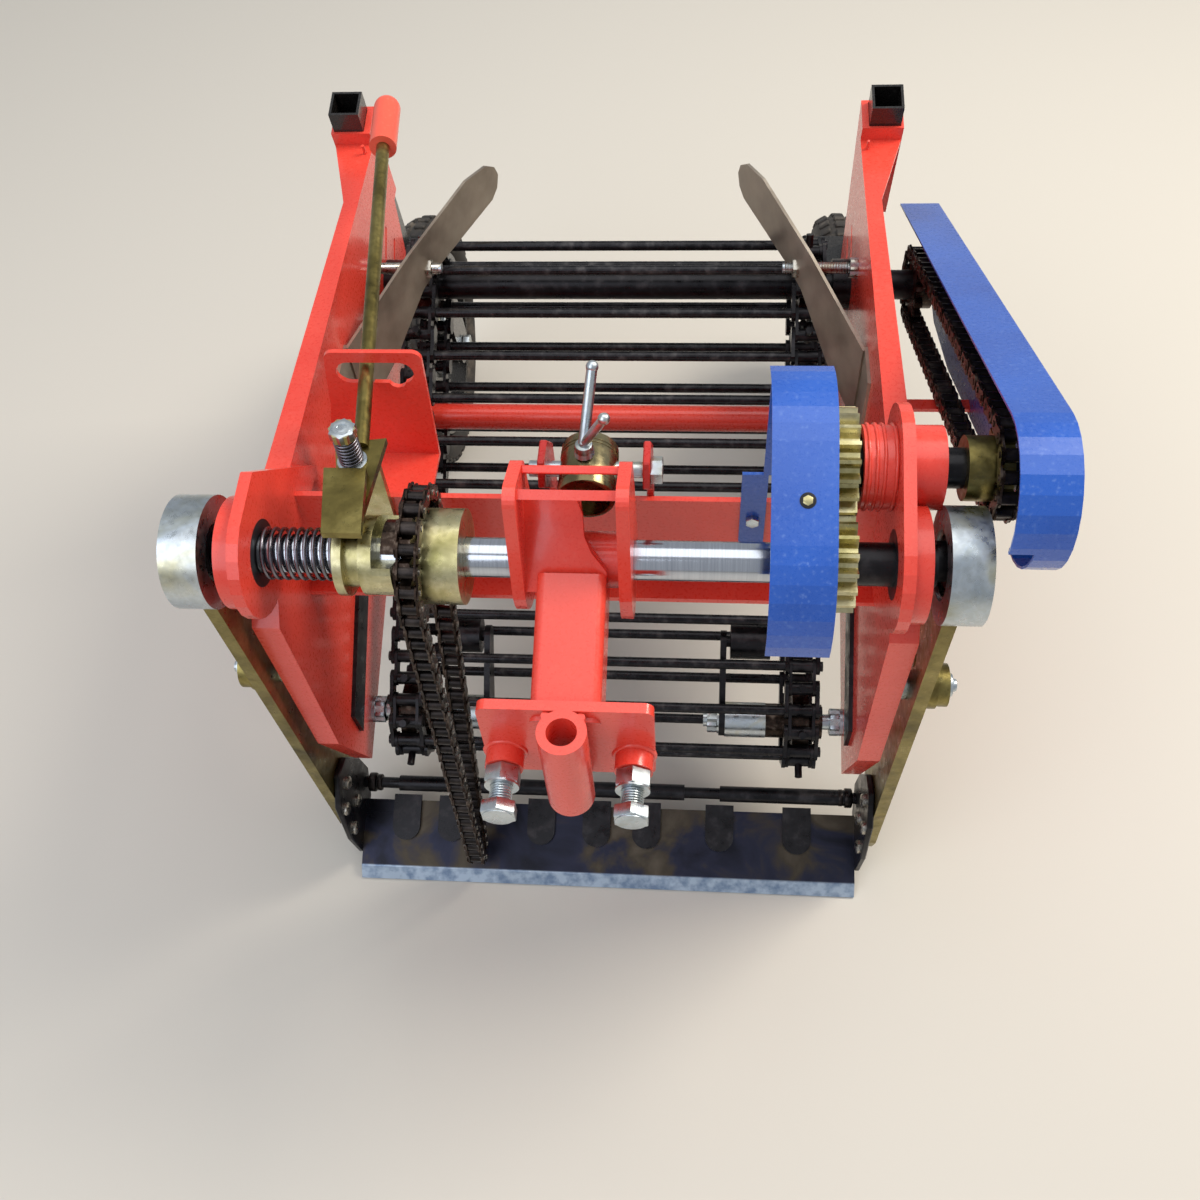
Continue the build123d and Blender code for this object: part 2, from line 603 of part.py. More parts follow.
# Drive sprocket, its hub and the two jaws towards the clutch
DRIVE_BORE = SHAFT_R + SEAT
JAW_R = 28.0
DRIVE_JAW = 19.5
HUB_LEN = 31.0
DRIVE_HUB_R = 36.0
drive_sprocket = toothed(
    DRIVE_TEETH, DRIVE_PITCH, ROLLER, DRIVE_X - DRIVE_T / 2, DRIVE_X + DRIVE_T / 2, SHAFT, DRIVE_BORE, 3)
for a in (90, 270):
    jaw = plate([SHAFT] + arc_points(SHAFT, JAW_R, a - 36, a + 36, 6),
                DRIVE_X - DRIVE_T / 2 - DRIVE_JAW, DRIVE_X - DRIVE_T / 2)
    drive_sprocket += jaw - cyl_x(DRIVE_BORE, DRIVE_X - 40, DRIVE_X, SHAFT)
drive_hub = ring_x(DRIVE_HUB_R, DRIVE_BORE, DRIVE_X + DRIVE_T / 2, DRIVE_X + DRIVE_T / 2 + HUB_LEN, SHAFT)

# Sliding clutch: thrust flange, fork groove, body and two jaws
CLUTCH_X0 = -172.0
CLUTCH_R = 30.0
FLANGE_END, GROOVE_END, BODY_END, JAW_END = 7.0, 19.0, 29.0, 43.0
CLUTCH_BORE = SHAFT_R + RUN
clutch = ring_x(CLUTCH_R + 1, CLUTCH_BORE, CLUTCH_X0, CLUTCH_X0 + FLANGE_END, SHAFT)
clutch += ring_x(24, CLUTCH_BORE, CLUTCH_X0 + FLANGE_END, CLUTCH_X0 + GROOVE_END, SHAFT)
clutch += ring_x(CLUTCH_R, CLUTCH_BORE, CLUTCH_X0 + GROOVE_END, CLUTCH_X0 + BODY_END, SHAFT)
for a in (0, 180):
    jaw = plate([SHAFT] + arc_points(SHAFT, CLUTCH_R, a - 34, a + 34, 6),
                CLUTCH_X0 + BODY_END, CLUTCH_X0 + JAW_END)
    clutch += jaw - cyl_x(CLUTCH_BORE, CLUTCH_X0, CLUTCH_X0 + 60, SHAFT)
SPRING_R = 18.7
SPRING_WIRE = 1.5
SPRING_TURNS = 9.0
SPRING_START = -PLATE_X + EAR_T + SPRING_WIRE + SEAT
SPRING_LEN = CLUTCH_X0 - SPRING_START - SPRING_WIRE - SEAT
coil = Pos(SPRING_START, SHAFT[0], SHAFT[1]) * (
    Rot(0, 90, 0) * sweep(
        Plane(origin=(SPRING_R, 0, 0), z_dir=(0, 1, 0)) * Circle(SPRING_WIRE),
        path=Helix(pitch=SPRING_LEN / SPRING_TURNS, height=SPRING_LEN, radius=SPRING_R),
    )
)

# Housings, arms and blade: one body that swings on the two arm pins
housing = ring_x(HOUSING_R, HOUSING_BORE, HOUSING_X0, HOUSING_X1, SHAFT)
ARM_HALF = 33.0
ARM_FOOT = ((102.0, 70.0), (96.0, 40.0), (44.0, 36.0), (36.0, 62.0))
arm = plate(
    [(SHAFT[0] - ARM_HALF, SHAFT[1] - 20), (SHAFT[0] + ARM_HALF, SHAFT[1] - 20), *ARM_FOOT],
    ARM_IN, ARM_IN + ARM_T, [(*PIVOT, PIVOT_R + RUN)],
)
arm -= cyl_x(HOUSING_R, ARM_IN - 1, ARM_IN + ARM_T + 1, SHAFT)
arm += ring_x(PIVOT_BOSS_R, PIVOT_R + RUN, ARM_IN + ARM_T, PIVOT_END - 10, PIVOT)
arm += ring_x(PIVOT_BOSS_R - 2, PIVOT_R + RUN, PIVOT_END - 10, PIVOT_END, PIVOT)
arm_pin = cyl_x(PIVOT_R, PLATE_OUT, PIVOT_END + 0.5, PIVOT) + cyl_x(PIVOT_R - 2, PIVOT_END, PIVOT_END + 4, PIVOT)
arm_pin += cyl_x(5, PIVOT_END + 4, PIVOT_END + 8, PIVOT) + cyl_x(PIVOT_R + 1, PLATE_OUT, ARM_IN - 1, PIVOT)
end_plate = plate([(26, 12), (88, 26), (106, 58), (100, 92), (56, 94), (28, 56)], BLADE_HALF, ARM_IN, (), 6)

# Blade with a bevelled edge, its hinge rod with knuckles, and the tongues on its top
BLADE_SLOPE = 22.3
BLADE_LEN = 86.0
BLADE_T = 8.0
BEVEL = 14.0


def blade_at(s, t):
    """Point (Y, Z) s up the blade's slope from its edge and t above its underside."""
    return (s * cosd(BLADE_SLOPE) - t * sind(BLADE_SLOPE), s * sind(BLADE_SLOPE) + t * cosd(BLADE_SLOPE))


blade = plate(
    [blade_at(1, 0), blade_at(BLADE_LEN, 0), blade_at(BLADE_LEN, BLADE_T), blade_at(BEVEL, BLADE_T),
     blade_at(1, 1.5)],
    -BLADE_HALF, BLADE_HALF,
)
HINGE_R = 6.0
TONGUE_W, TONGUE_L, TONGUE_T = 30.0, 34.0, 4.0
TONGUES = (-218, -168, -70, -10, 44, 122, 204)
blade_hinge = cyl_x(HINGE_R, -BLADE_HALF, BLADE_HALF, HINGE)
tongue_root = blade_at(BLADE_LEN + 6, BLADE_T)
tongue_plane = Plane(
    origin=(0, *tongue_root), x_dir=(1, 0, 0), z_dir=(0, -sind(BLADE_SLOPE), cosd(BLADE_SLOPE)))
for x in TONGUES:
    tongue = Pos(x, -TONGUE_L / 2) * Rectangle(TONGUE_W, TONGUE_L)
    tongue += Pos(x, -TONGUE_L) * Circle(TONGUE_W / 2)
    blade_hinge += extrude(tongue_plane * tongue, TONGUE_T)
for a, b in ((-228, -56), (-52, 84), (122, 258)):
    blade_hinge += ring_x(HINGE_R + 2.5, HINGE_R - 1, a, b, HINGE)

# Drawbar: sleeve on the shaft, two ears, top bar, square tube, saddle and hitch plate
EAR_IN, EAR_OUT = 34.0, 43.0
DRAW_BORE = SHAFT_R + SEAT
ear = plate(
    hull_points([(*SHAFT, 38), (SHAFT[0] - 10, SHAFT[1] + 80, 12), (SHAFT[0] + 18, SHAFT[1] + 70, 12)]),
    EAR_IN, EAR_OUT,
)
low_ear = plate(hull_points([(*SHAFT, 38), (SHAFT[0] - 2, SHAFT[1] - 14, 34)]), EAR_IN, EAR_OUT)
SLEEVE_R = 21.0
drawbar = cyl_x(SLEEVE_R, -EAR_OUT, EAR_OUT, SHAFT) + ear + low_ear + mirrored(ear)
BAR_TOP = (SHAFT[0] - 8.0, SHAFT[1] + 88.0)
BAR_SLOPE = -50.0
bar_end = (BAR_TOP[0] + 22 * cosd(BAR_SLOPE), BAR_TOP[1] + 22 * sind(BAR_SLOPE))
drawbar += plate(strip_face([bar_end, BAR_TOP], 7), -EAR_OUT, EAR_OUT)
TUBE_SIDE, TUBE_WALL, TUBE_CORNER = 50.0, 4.0, 7.0
tube_low = (HITCH_Y + HITCH_T - 2, 487.0)
tube_high = (SHAFT[0] - 20, SHAFT[1] - 2)
tube_len = math.hypot(tube_high[0] - tube_low[0], tube_high[1] - tube_low[1])
tube_plane = Plane(
    origin=(0, *tube_low), x_dir=(1, 0, 0), z_dir=(0, tube_high[0] - tube_low[0], tube_high[1] - tube_low[1]))
tube = RectangleRounded(TUBE_SIDE, TUBE_SIDE, TUBE_CORNER)
tube -= RectangleRounded(TUBE_SIDE - 2 * TUBE_WALL, TUBE_SIDE - 2 * TUBE_WALL, TUBE_CORNER - TUBE_WALL)
drawbar += extrude(tube_plane * tube, tube_len)
# the saddle plate lies on the sleeve, steeper than the tube, and narrows to its top
SADDLE_SLOPE = 51.0
SADDLE_T = 5.0
saddle_plane = Plane(
    origin=(0, SHAFT[0] - (SLEEVE_R - 1) * sind(SADDLE_SLOPE), SHAFT[1] + (SLEEVE_R - 1) * cosd(SADDLE_SLOPE)),
    x_dir=(1, 0, 0), z_dir=(0, -sind(SADDLE_SLOPE), cosd(SADDLE_SLOPE)))
saddle = make_face(Polyline(
    (-EAR_IN - 1, 52), (6, 52), (8, 22), (25, -2), (25, -18), (-EAR_IN - 1, -18), close=True).edges())
drawbar += extrude(saddle_plane * Sketch(saddle.wrapped), SADDLE_T)
hitch_plate = RectangleRounded(124, HITCH_Z1 - HITCH_Z0, 7)
drawbar += extrude(Plane.XZ.offset(-HITCH_Y - HITCH_T) * (Pos(0, (HITCH_Z0 + HITCH_Z1) / 2) * hitch_plate), HITCH_T)
drawbar += cyl_z(PIPE_R, PIPE_Z0, PIPE_Z1, 0, PIPE_Y)
drawbar -= cyl_z(PIPE_BORE, PIPE_Z0 - 5, PIPE_Z1 + 5, 0, PIPE_Y)
drawbar -= cyl_x(DRAW_BORE, -60, 60, SHAFT)
BOLT_R = 8.0
BOSS_R, BOSS_LEN = 14.0, 14.0
bolts = []
for x in (-BOLT_X, BOLT_X):
    drawbar += cyl_y(BOSS_R, HITCH_Y - BOSS_LEN, HITCH_Y, x, BOLT_Z)
    drawbar -= cyl_y(BOLT_R, HITCH_Y - 40, HITCH_Y + 20, x, BOLT_Z)
    bolt = cyl_y(BOLT_R, HITCH_Y - 62, HITCH_Y + 14, x, BOLT_Z)
    bolt += hex_y(24, HITCH_Y - 66, HITCH_Y - 56, x, BOLT_Z)
    bolt += hex_y(24, HITCH_Y - BOSS_LEN - 13, HITCH_Y - BOSS_LEN, x, BOLT_Z)
    bolts.append(bolt)
drawbar = Pos(DRAW_X, 0, 0) * drawbar
hitch_bolts = Pos(DRAW_X, 0, 0) * Compound(children=bolts)

# Trunnion of the adjusting screw, on a pin between two ears behind the beam
BEAM_BACK = BEAM_Y + BEAM_T
trun_ear = [
    (BEAM_BACK, 460), (BEAM_BACK + 12, 470), (BEAM_BACK + 12, 552), (TRUN[0] + 14, TRUN[1] + 18),
    (TRUN[0] - 12, TRUN[1] + 18), (TRUN[0] - 16, TRUN[1] - 10), (BEAM_BACK, BEAM_TOP + 8),
]
# the two ears stand clear outside and inside of the drawbar's, as (x0, x1)
TRUN_EARS = ((-25.0, -18.0), (52.0, 59.0))
trunnion_ears = Compound(children=[
    plate(trun_ear, x0, x1, [(*TRUN, TRUN_PIN_R + RUN)]) for x0, x1 in TRUN_EARS
])
SCREW_R = 7.0
trunnion = cyl_z(TRUN_R, TRUN[1] - TRUN_H / 2, TRUN[1] + TRUN_H / 2, TRUN_X, TRUN[0])
trunnion += cyl_x(TRUN_PIN_R, TRUN_EARS[0][0] - 9, TRUN_EARS[1][1] + 5, TRUN)
trunnion += hex_x(18, TRUN_EARS[1][1], TRUN_EARS[1][1] + 13, TRUN)
trunnion -= cyl_z(SCREW_R + 0.2, TRUN[1] - TRUN_H, TRUN[1] + TRUN_H, TRUN_X, TRUN[0])
TRUN_TOP = TRUN[1] + TRUN_H / 2
screw = cyl_z(SCREW_R, TRUN[1] - 56, TRUN_TOP + 8, TRUN_X, TRUN[0])
CRANK_TIP = (TRUN_X + 6, TRUN[0] + 34, TRUN_TOP + 34)
screw += cyl_z(4, TRUN_TOP + 6, TRUN_TOP + 14, TRUN_X, TRUN[0])
screw += rod_between((TRUN_X, TRUN[0], TRUN_TOP + 12), CRANK_TIP, 4) + Pos(*CRANK_TIP) * Sphere(4.6)

# Clutch lever: base plate on the pin, fork plate over the clutch, rod and grip
PX, PY = LEVER_PIN
BASE_T, FORK_Z = 6.0, LEVER_Z + 12.0
base = plan([(PX - 17, PY + 18), (PX + 22, PY + 24), (PX + 16, PY - 62), (PX - 6, PY - 30)], LEVER_Z, LEVER_Z + BASE_T)
fork = plan([(PX - 6, 30), (PX + 23, 30), (PX + 16, PY - 17), (PX - 16, PY - 17)], FORK_Z, FORK_Z + 6)
TOUCH_X = CLUTCH_X0 + (FLANGE_END + GROOVE_END) / 2
cheek = box(PX + 8, PX + 16, PY - 62, PY - 17, LEVER_Z, FORK_Z + 1)
tip = box(TOUCH_X - 3.5, TOUCH_X + 3.5, SHAFT[0] - 5, SHAFT[0] + 5, SHAFT[1] + 26, FORK_Z + 1)
LEVER_FOOT = Vector(PX + 4, PY + 14, LEVER_Z + 6)
GRIP_START = Vector(-204, 476.6, 580)
GRIP_END = Vector(-208.7, 532, 583)
LEVER_R, GRIP_R = 6.0, 12.5
clutch_lever = base + fork + cheek + tip + rod_between(LEVER_FOOT, GRIP_START, LEVER_R)
clutch_lever -= cyl_z(6.4, LEVER_Z - 20, LEVER_Z + 60, PX, PY)
lever_grip = rod_between(GRIP_START, GRIP_END, GRIP_R) + Pos(*GRIP_END) * Sphere(GRIP_R)
lever_grip -= rod_between(GRIP_START, GRIP_START + (GRIP_START - GRIP_END), GRIP_R + 2)
clutch_lever -= lever_grip

# Gate that guides the lever, and the bracket with the lever's pin
GATE_Y, GATE_T = 200.0, 4.0
GATE_SLOT_Z = 565.0
gate_face = make_face(Polyline(
    (-204, 586.5), (-126, 586.5), (-130, 470), (-218, 470), (-218, 500), (-211, 530), close=True).edges())
gate_face = fillet(gate_face.vertices().sort_by(Axis.Y)[-2:], 8)
gate = extrude(Plane.XZ.offset(-GATE_Y - GATE_T) * Sketch(gate_face.wrapped), GATE_T)
slot = SlotOverall(63, 22)
gate -= extrude(Plane.XZ.offset(-GATE_Y - GATE_T - 2) * (Pos(-166.5, GATE_SLOT_Z) * slot), GATE_T + 4)
# notches in the slot's lower edge, as X
for x in (-176, -150):
    gate -= cyl_y(7, GATE_Y - 2, GATE_Y + GATE_T + 2, x, GATE_SLOT_Z - 9)
gate += box(-218, -130, BEAM_BACK, GATE_Y + GATE_T, 466, 470)
lever_bracket = box(PX - 14, PX + 14, PY - 12, BEAM_Y - 6, LEVER_Z - 6.5, LEVER_Z - 0.5)
lever_bracket += box(PX - 14, PX + 14, BEAM_Y - 6, BEAM_Y, 470, LEVER_Z - 5)
lever_bracket += cyl_z(6, LEVER_Z - 1, LEVER_Z + 36, PX, PY)
lever_head = Pos(PX, PY, LEVER_Z + 34) * extrude(RegularPolygon(10.4, 6), 8)
lever_bracket += lever_head

# Gear guard: a bent strip over both gears, on a foot from the beam
GUARD_R, GUARD_T = 74.0, 1.8
GUARD_X0, GUARD_X1 = 142.0, 187.0
guard_line = arc_points(COUNTER, GUARD_R, 58, COUNTER_ANGLE + 90, 6)
guard_line += arc_points(SHAFT, GUARD_R, COUNTER_ANGLE + 90, 190, 7)
gear_guard = plate(strip_face(guard_line, GUARD_T), GUARD_X0, GUARD_X1)
gear_guard += box(GUARD_X0 - 16, GUARD_X0 + 4, BEAM_Y - 3, BEAM_Y, 452, 536)
gear_guard += box(GUARD_X0, GUARD_X0 + 8, BEAM_Y - 3, BEAM_Y, 536, COUNTER[1] + GUARD_R - 2.2)

# Chain guard: a bent strip over the side chain with a plate on its outside
SIDE_DIR = (REAR_AXLE[0] - COUNTER[0], REAR_AXLE[1] - COUNTER[1])
SIDE_LEN = math.hypot(*SIDE_DIR)
SIDE_RUN = (SIDE_DIR[0] / SIDE_LEN, SIDE_DIR[1] / SIDE_LEN)
COVER_X0, COVER_X1 = 299.0, 339.0
NOSE = (69.0, 588.0)
NOSE_R = 54.0
SHEET = 1.8


def guard_point(s, t):
    """Point (Y, Z) beside the side chain, s along from the countershaft and t above its centre line."""
    return (
        COUNTER[0] + SIDE_RUN[0] * s - SIDE_RUN[1] * t,
        COUNTER[1] + SIDE_RUN[1] * s + SIDE_RUN[0] * t,
    )


RISE = math.degrees(math.atan2(SIDE_RUN[0], -SIDE_RUN[1]))
COVER_UP = (NOSE[0] - COUNTER[0]) * -SIDE_RUN[1] + (NOSE[1] - COUNTER[1]) * SIDE_RUN[0] + NOSE_R
rim = [guard_point(SIDE_LEN + 74, COVER_UP)] + arc_points(NOSE, NOSE_R, RISE, 258, 14)
chain_guard = plate(strip_face(rim, -SHEET), COVER_X0, COVER_X1)
chain_guard += plate(
    rim + [guard_point(60, -58), guard_point(SIDE_LEN * 0.8, -58), guard_point(SIDE_LEN + 12, -44),
           guard_point(SIDE_LEN + 68, -16)],
    COVER_X1 - SHEET, COVER_X1,
)
NOTCH_X, NOTCH_TOP = 316.0, 585.0
chain_guard -= box(COVER_X0 - 1, NOTCH_X, NOSE[0] - NOSE_R - 5, 100, 480, NOTCH_TOP)
guard_bars = []
for share in (0.27, 0.54):
    y, z = guard_point(SIDE_LEN * share, -50)
    guard_bars.append(box(PLATE_OUT, COVER_X1 - SHEET, y - 6, y + 6, z - 2, z + 2))

# Deflectors over the sides of the conveyor, bent from sheet, and their threaded studs
DEFLECT_T = 3.0
DEFLECT_ROOT = (PLATE_X - 2.0, 338.0)
DEFLECT_LEAN = 22.8
# outline as (distance from the bend, Z)
DEFLECT_LINE = (
    (0, 372), (62, 394), (128, 432), (160, 437), (272, 440), (284, 447), (289, 460), (284, 472),
    (269, 483), (230, 491), (117, 482), (0, 462),
)
DEFLECT_FOOT = (296.0, 342.0, 372.0, 462.0)
deflector_face = make_face(Polyline(*DEFLECT_LINE, close=True).edges())
deflector_plane = Plane(
    origin=(*DEFLECT_ROOT, 0), x_dir=(-sind(DEFLECT_LEAN), cosd(DEFLECT_LEAN), 0),
    z_dir=(cosd(DEFLECT_LEAN), sind(DEFLECT_LEAN), 0))
deflector = extrude(deflector_plane * Sketch(deflector_face.wrapped), -DEFLECT_T)
deflector += box(PLATE_X - DEFLECT_T, PLATE_X, *DEFLECT_FOOT)
deflector -= cyl_x(STUD_R + 0.1, 150, 260, STUD_AT)
stud = cyl_x(STUD_R, 170, PLATE_OUT + 14, STUD_AT) + hex_x(17, PLATE_OUT, PLATE_OUT + 8, STUD_AT)
stud += hex_x(17, PLATE_X - 8, PLATE_X, STUD_AT)

# Legs: square tube, bridge and fork over the wheel, and the axle
LEG_LEN = (LEG_TOP[1] - WHEEL_R) / cosd(RAKE)
BRIDGE_T = 8.0
BRIDGE_DOWN = LEG_LEN - WHEEL_R - 11.0 - BRIDGE_T
FORK_IN = WHEEL_IN - FORK_GAP
FORK_OUT = WHEEL_OUT + FORK_GAP
bridge_at = leg_point(BRIDGE_DOWN)
bridge_plane = Plane(
    origin=((FORK_IN + FORK_OUT) / 2, *bridge_at), x_dir=(1, 0, 0), z_dir=(0, -LEG_DIR[0], -LEG_DIR[1]))
leg = leg_block(LEG_SIDE, 0, BRIDGE_DOWN) - leg_block(LEG_SIDE - 2 * LEG_WALL, -1, BRIDGE_DOWN - 4)
leg += extrude(bridge_plane * Rectangle(FORK_OUT - FORK_IN + 2 * FORK_T, 2 * FORK_HALF), BRIDGE_T)
fork_plate = plate(
    [leg_point(BRIDGE_DOWN, -FORK_HALF), leg_point(BRIDGE_DOWN, FORK_HALF)]
    + arc_points(WHEEL, FORK_HALF, RAKE, RAKE - 180, 8), 0, FORK_T)
leg += Pos(FORK_IN - FORK_T, 0, 0) * fork_plate
leg += Pos(FORK_OUT, 0, 0) * fork_plate
leg += cyl_x(AXLE_R, FORK_IN - FORK_T - 4, FORK_OUT + FORK_T + 4, WHEEL)

# Wheels: rim with hub and web, and the tyre
RIM_R = 0.72 * WHEEL_R
hub = ring_x(24, AXLE_R + RUN, WHEEL_IN - FORK_GAP + 1, WHEEL_OUT + FORK_GAP - 1, WHEEL)
rim_mid = (WHEEL_IN + WHEEL_OUT) / 2
wheel_rim = hub + ring_x(RIM_R - 6, 23, rim_mid - 5, rim_mid + 5, WHEEL)
wheel_rim += ring_x(RIM_R, RIM_R - 10, WHEEL_IN + 7, WHEEL_OUT - 7, WHEEL)
# tyre section as (distance in from its side, radius)
TYRE_SECTION = ((7, RIM_R), (1, RIM_R + 10), (0, WHEEL_R - 20), (7, WHEEL_R - 4), (18, WHEEL_R))
tyre_points = [(WHEEL_IN + d, r) for d, r in TYRE_SECTION]
tyre_points += [(WHEEL_OUT - d, r) for d, r in reversed(TYRE_SECTION)]
tyre_face = make_face(Polyline(*tyre_points, close=True).edges())
tyre = Pos(0, *WHEEL) * revolve(Plane.XZ * Sketch(tyre_face.wrapped), Axis.X)

PARTS = {
    "side_plate_left": side_left,
    "side_plate_right": side_right,
    "shaft_ear_left": ear_left,
    "shaft_ear_right": ear_right,
    "shaft_bearings": shaft_bearings,
    "cross_beam": beam,
    "cross_tube": cross_tube,
    "side_strips": pair(strip),
    "trunnion_ears": trunnion_ears,
    "conveyor_chains": pair(*chain_bands),
    "conveyor_rods": conveyor_rods,
    "front_idlers": pair(idler),
    "front_spacers": pair(spacer),
    "front_stub_bolts": pair(stub),
    "support_rollers": pair(support),
    "rear_shaft": rear_shaft,
    "rear_sprockets": rear_sprockets,
    "rear_bearing_blocks": pair(rear_block),
    "side_chain": side_chain,
    "input_chain": input_chain,
    "gate_bracket": gate,
    "lever_pin_bracket": lever_bracket,
    "gear_guard": gear_guard,
    "chain_guard": chain_guard,
    "guard_bars": Compound(children=guard_bars),
    "deflectors": pair(deflector),
    "deflector_studs": pair(stud),
    "arm_pins": pair(arm_pin),
    "main_shaft": main_shaft,
    "eccentric_stubs": eccentric_stubs,
    "main_gear": main_gear,
    "clutch_jaw": clutch,
    "clutch_spring": coil,
    "drive_sprocket": drive_sprocket,
    "drive_hub": drive_hub,
    "counter_shaft": counter_shaft,
    "counter_gear": counter_gear,
    "counter_sprocket": counter_sprocket,
    "swing_arm_left": mirrored(arm),
    "swing_arm_right": arm,
    "eccentric_housings": pair(housing),
    "blade_end_plates": pair(end_plate),
    "blade": blade,
    "blade_hinge": blade_hinge,
    "drawbar": drawbar,
    "hitch_bolts": hitch_bolts,
    "trunnion": trunnion,
    "adjusting_screw": screw,
    "clutch_lever": clutch_lever,
    "lever_grip": lever_grip,
    "leg_left": mirrored(leg),
    "leg_right": leg,
    "wheel_rim_left": mirrored(wheel_rim),
    "wheel_rim_right": wheel_rim,
    "tyre_left": mirrored(tyre),
    "tyre_right": tyre,
}

if __name__ == "__main__":
    boxes = [s.bounding_box() for s in PARTS.values()]
    x0, x1 = min(b.min.X for b in boxes), max(b.max.X for b in boxes)
    y0, y1 = min(b.min.Y for b in boxes), max(b.max.Y for b in boxes)
    z0, z1 = min(b.min.Z for b in boxes), max(b.max.Z for b in boxes)
    print("box", x0, x1, y0, y1, z0, z1)
    shift = Pos(-(x0 + x1) / 2, -(y0 + y1) / 2, -z0)
    print("shift", -(x0 + x1) / 2, -(y0 + y1) / 2, -z0)
    for name, shape in PARTS.items():
        moved = shift * shape
        export_step(moved, "parts/" + name + ".step")
        print(name, "ok", round(moved.volume))
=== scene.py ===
# %% [markdown]
# # Walk-behind potato harvester
# A small digger that hangs behind a two-wheel tractor. A blade swings under the row, a bed of
# rods on chains carries the crop up and back, and open gears and chains drive it all.
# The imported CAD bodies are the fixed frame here: this file gives them their finishes and adds
# what is too fine for them, such as chain links, bolts, threads, welds and tyre tread.

# %% Load the frame
import json
import math

import bmesh
import bpy
from mathutils import Matrix, Vector


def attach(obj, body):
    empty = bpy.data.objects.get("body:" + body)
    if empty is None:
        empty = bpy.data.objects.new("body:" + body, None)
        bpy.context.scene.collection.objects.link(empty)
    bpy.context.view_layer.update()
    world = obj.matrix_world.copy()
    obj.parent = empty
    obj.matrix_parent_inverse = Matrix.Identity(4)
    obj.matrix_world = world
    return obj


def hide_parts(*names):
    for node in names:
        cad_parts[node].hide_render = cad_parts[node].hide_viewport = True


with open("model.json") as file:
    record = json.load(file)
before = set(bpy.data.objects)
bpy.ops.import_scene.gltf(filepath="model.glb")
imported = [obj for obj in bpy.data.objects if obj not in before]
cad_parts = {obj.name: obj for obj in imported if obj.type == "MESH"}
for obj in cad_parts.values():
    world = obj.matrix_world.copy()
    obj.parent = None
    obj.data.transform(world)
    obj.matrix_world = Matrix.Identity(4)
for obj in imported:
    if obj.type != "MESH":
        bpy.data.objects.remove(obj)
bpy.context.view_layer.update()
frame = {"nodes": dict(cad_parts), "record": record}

# %% [markdown]
# ## Shared measures
# All places come from the machine's own drawing: X to the chain-guard side, Y from the blade's
# edge to the rear, Z from the ground, in millimetres. One function turns such a point into the
# scene's metres, so every piece below can be placed with the numbers of a workshop drawing.

# %% Drawing measures
MM = 0.001
ORIGIN = (-13.0, -341.299)
SHAFT = (47.0, 527.0)
COUNTER = (110.572, 560.802)
WEB_R = 39.445
FRONT_AXLE = (130.0, 146.0)
REAR_AXLE = (514.534, 387.224)
PIVOT = (56.0, 347.0)
WHEEL = (666.6, 160.0)
WHEEL_X = 253.0
DRAW_X = 4.0
HITCH_Y = -78.0
HITCH_BOLT_X = 47.0
HITCH_BOLT_Z = 458.0


def at(x, y, z):
    """A point of the drawing, in metres in the scene."""
    return Vector(((x + ORIGIN[0]) * MM, (y + ORIGIN[1]) * MM, z * MM))


print("shaft at", [round(v, 4) for v in at(0, *SHAFT)])

# %% [markdown]
# ## Camera
# The photograph is taken from above the tractor side, looking down at the machine at about 55
# degrees. Its place was found from the blade's known width and the pairs of like parts left
# and right. The lens angle of 53 degrees is what gives their perspective.

# %% Camera
camera_data = bpy.data.cameras.new("camera")
camera_data.sensor_fit = "HORIZONTAL"
camera_data.angle = 2 * math.atan(0.5)
camera_data.clip_start = 0.01
camera = bpy.data.objects.new("camera", camera_data)
bpy.context.scene.collection.objects.link(camera)
camera.location = at(94.75, -482.7, 1233.75)
camera.rotation_euler = [math.radians(a) for a in (35.052, 3.145, 3.696)]
bpy.context.scene.camera = camera
print("camera at", [round(v, 3) for v in camera.location])

# %% [markdown]
# ## Nodes for the finishes
# Every finish is procedural. One small function adds a node, sets its values and links it, and
# one turns the hex colours, as read from a screen, into the linear values that shaders use.

# %% Node helpers


def linear(hex_colour):
    """An sRGB hex colour as linear RGBA."""
    out = []
    for k in (1, 3, 5):
        c = int(hex_colour[k:k + 2], 16) / 255
        out.append(c / 12.92 if c <= 0.04045 else ((c + 0.055) / 1.055) ** 2.4)
    return (*out, 1.0)


def add_node(tree, kind, links=None, **values):
    """A node with its settings, its socket values and its incoming links."""
    node = tree.nodes.new(kind)
    for key, value in values.items():
        if hasattr(node, key):
            setattr(node, key, value)
        else:
            node.inputs[key.replace("_", " ")].default_value = value
    for socket, source in (links or {}).items():
        tree.links.new(source, node.inputs[socket])
    return node


def add_ramp(tree, source, *stops):
    """A colour ramp from (position, hex colour) stops."""
    node = add_node(tree, "ShaderNodeValToRGB", {"Fac": source})
    ramp = node.color_ramp
    ramp.elements[0].position, ramp.elements[1].position = stops[0][0], stops[-1][0]
    ramp.elements[0].color, ramp.elements[1].color = linear(stops[0][1]), linear(stops[-1][1])
    for place, colour in stops[1:-1]:
        ramp.elements.new(place).color = linear(colour)
    return node.outputs["Color"]


def add_mix(tree, share, first, second):
    """Two colours mixed by a share; the second may be a hex colour."""
    node = add_node(tree, "ShaderNodeMix", data_type="RGBA")
    tree.links.new(share, node.inputs[0])
    tree.links.new(first, node.inputs[6])
    if isinstance(second, str):
        node.inputs[7].default_value = linear(second)
    else:
        tree.links.new(second, node.inputs[7])
    return node.outputs[2]


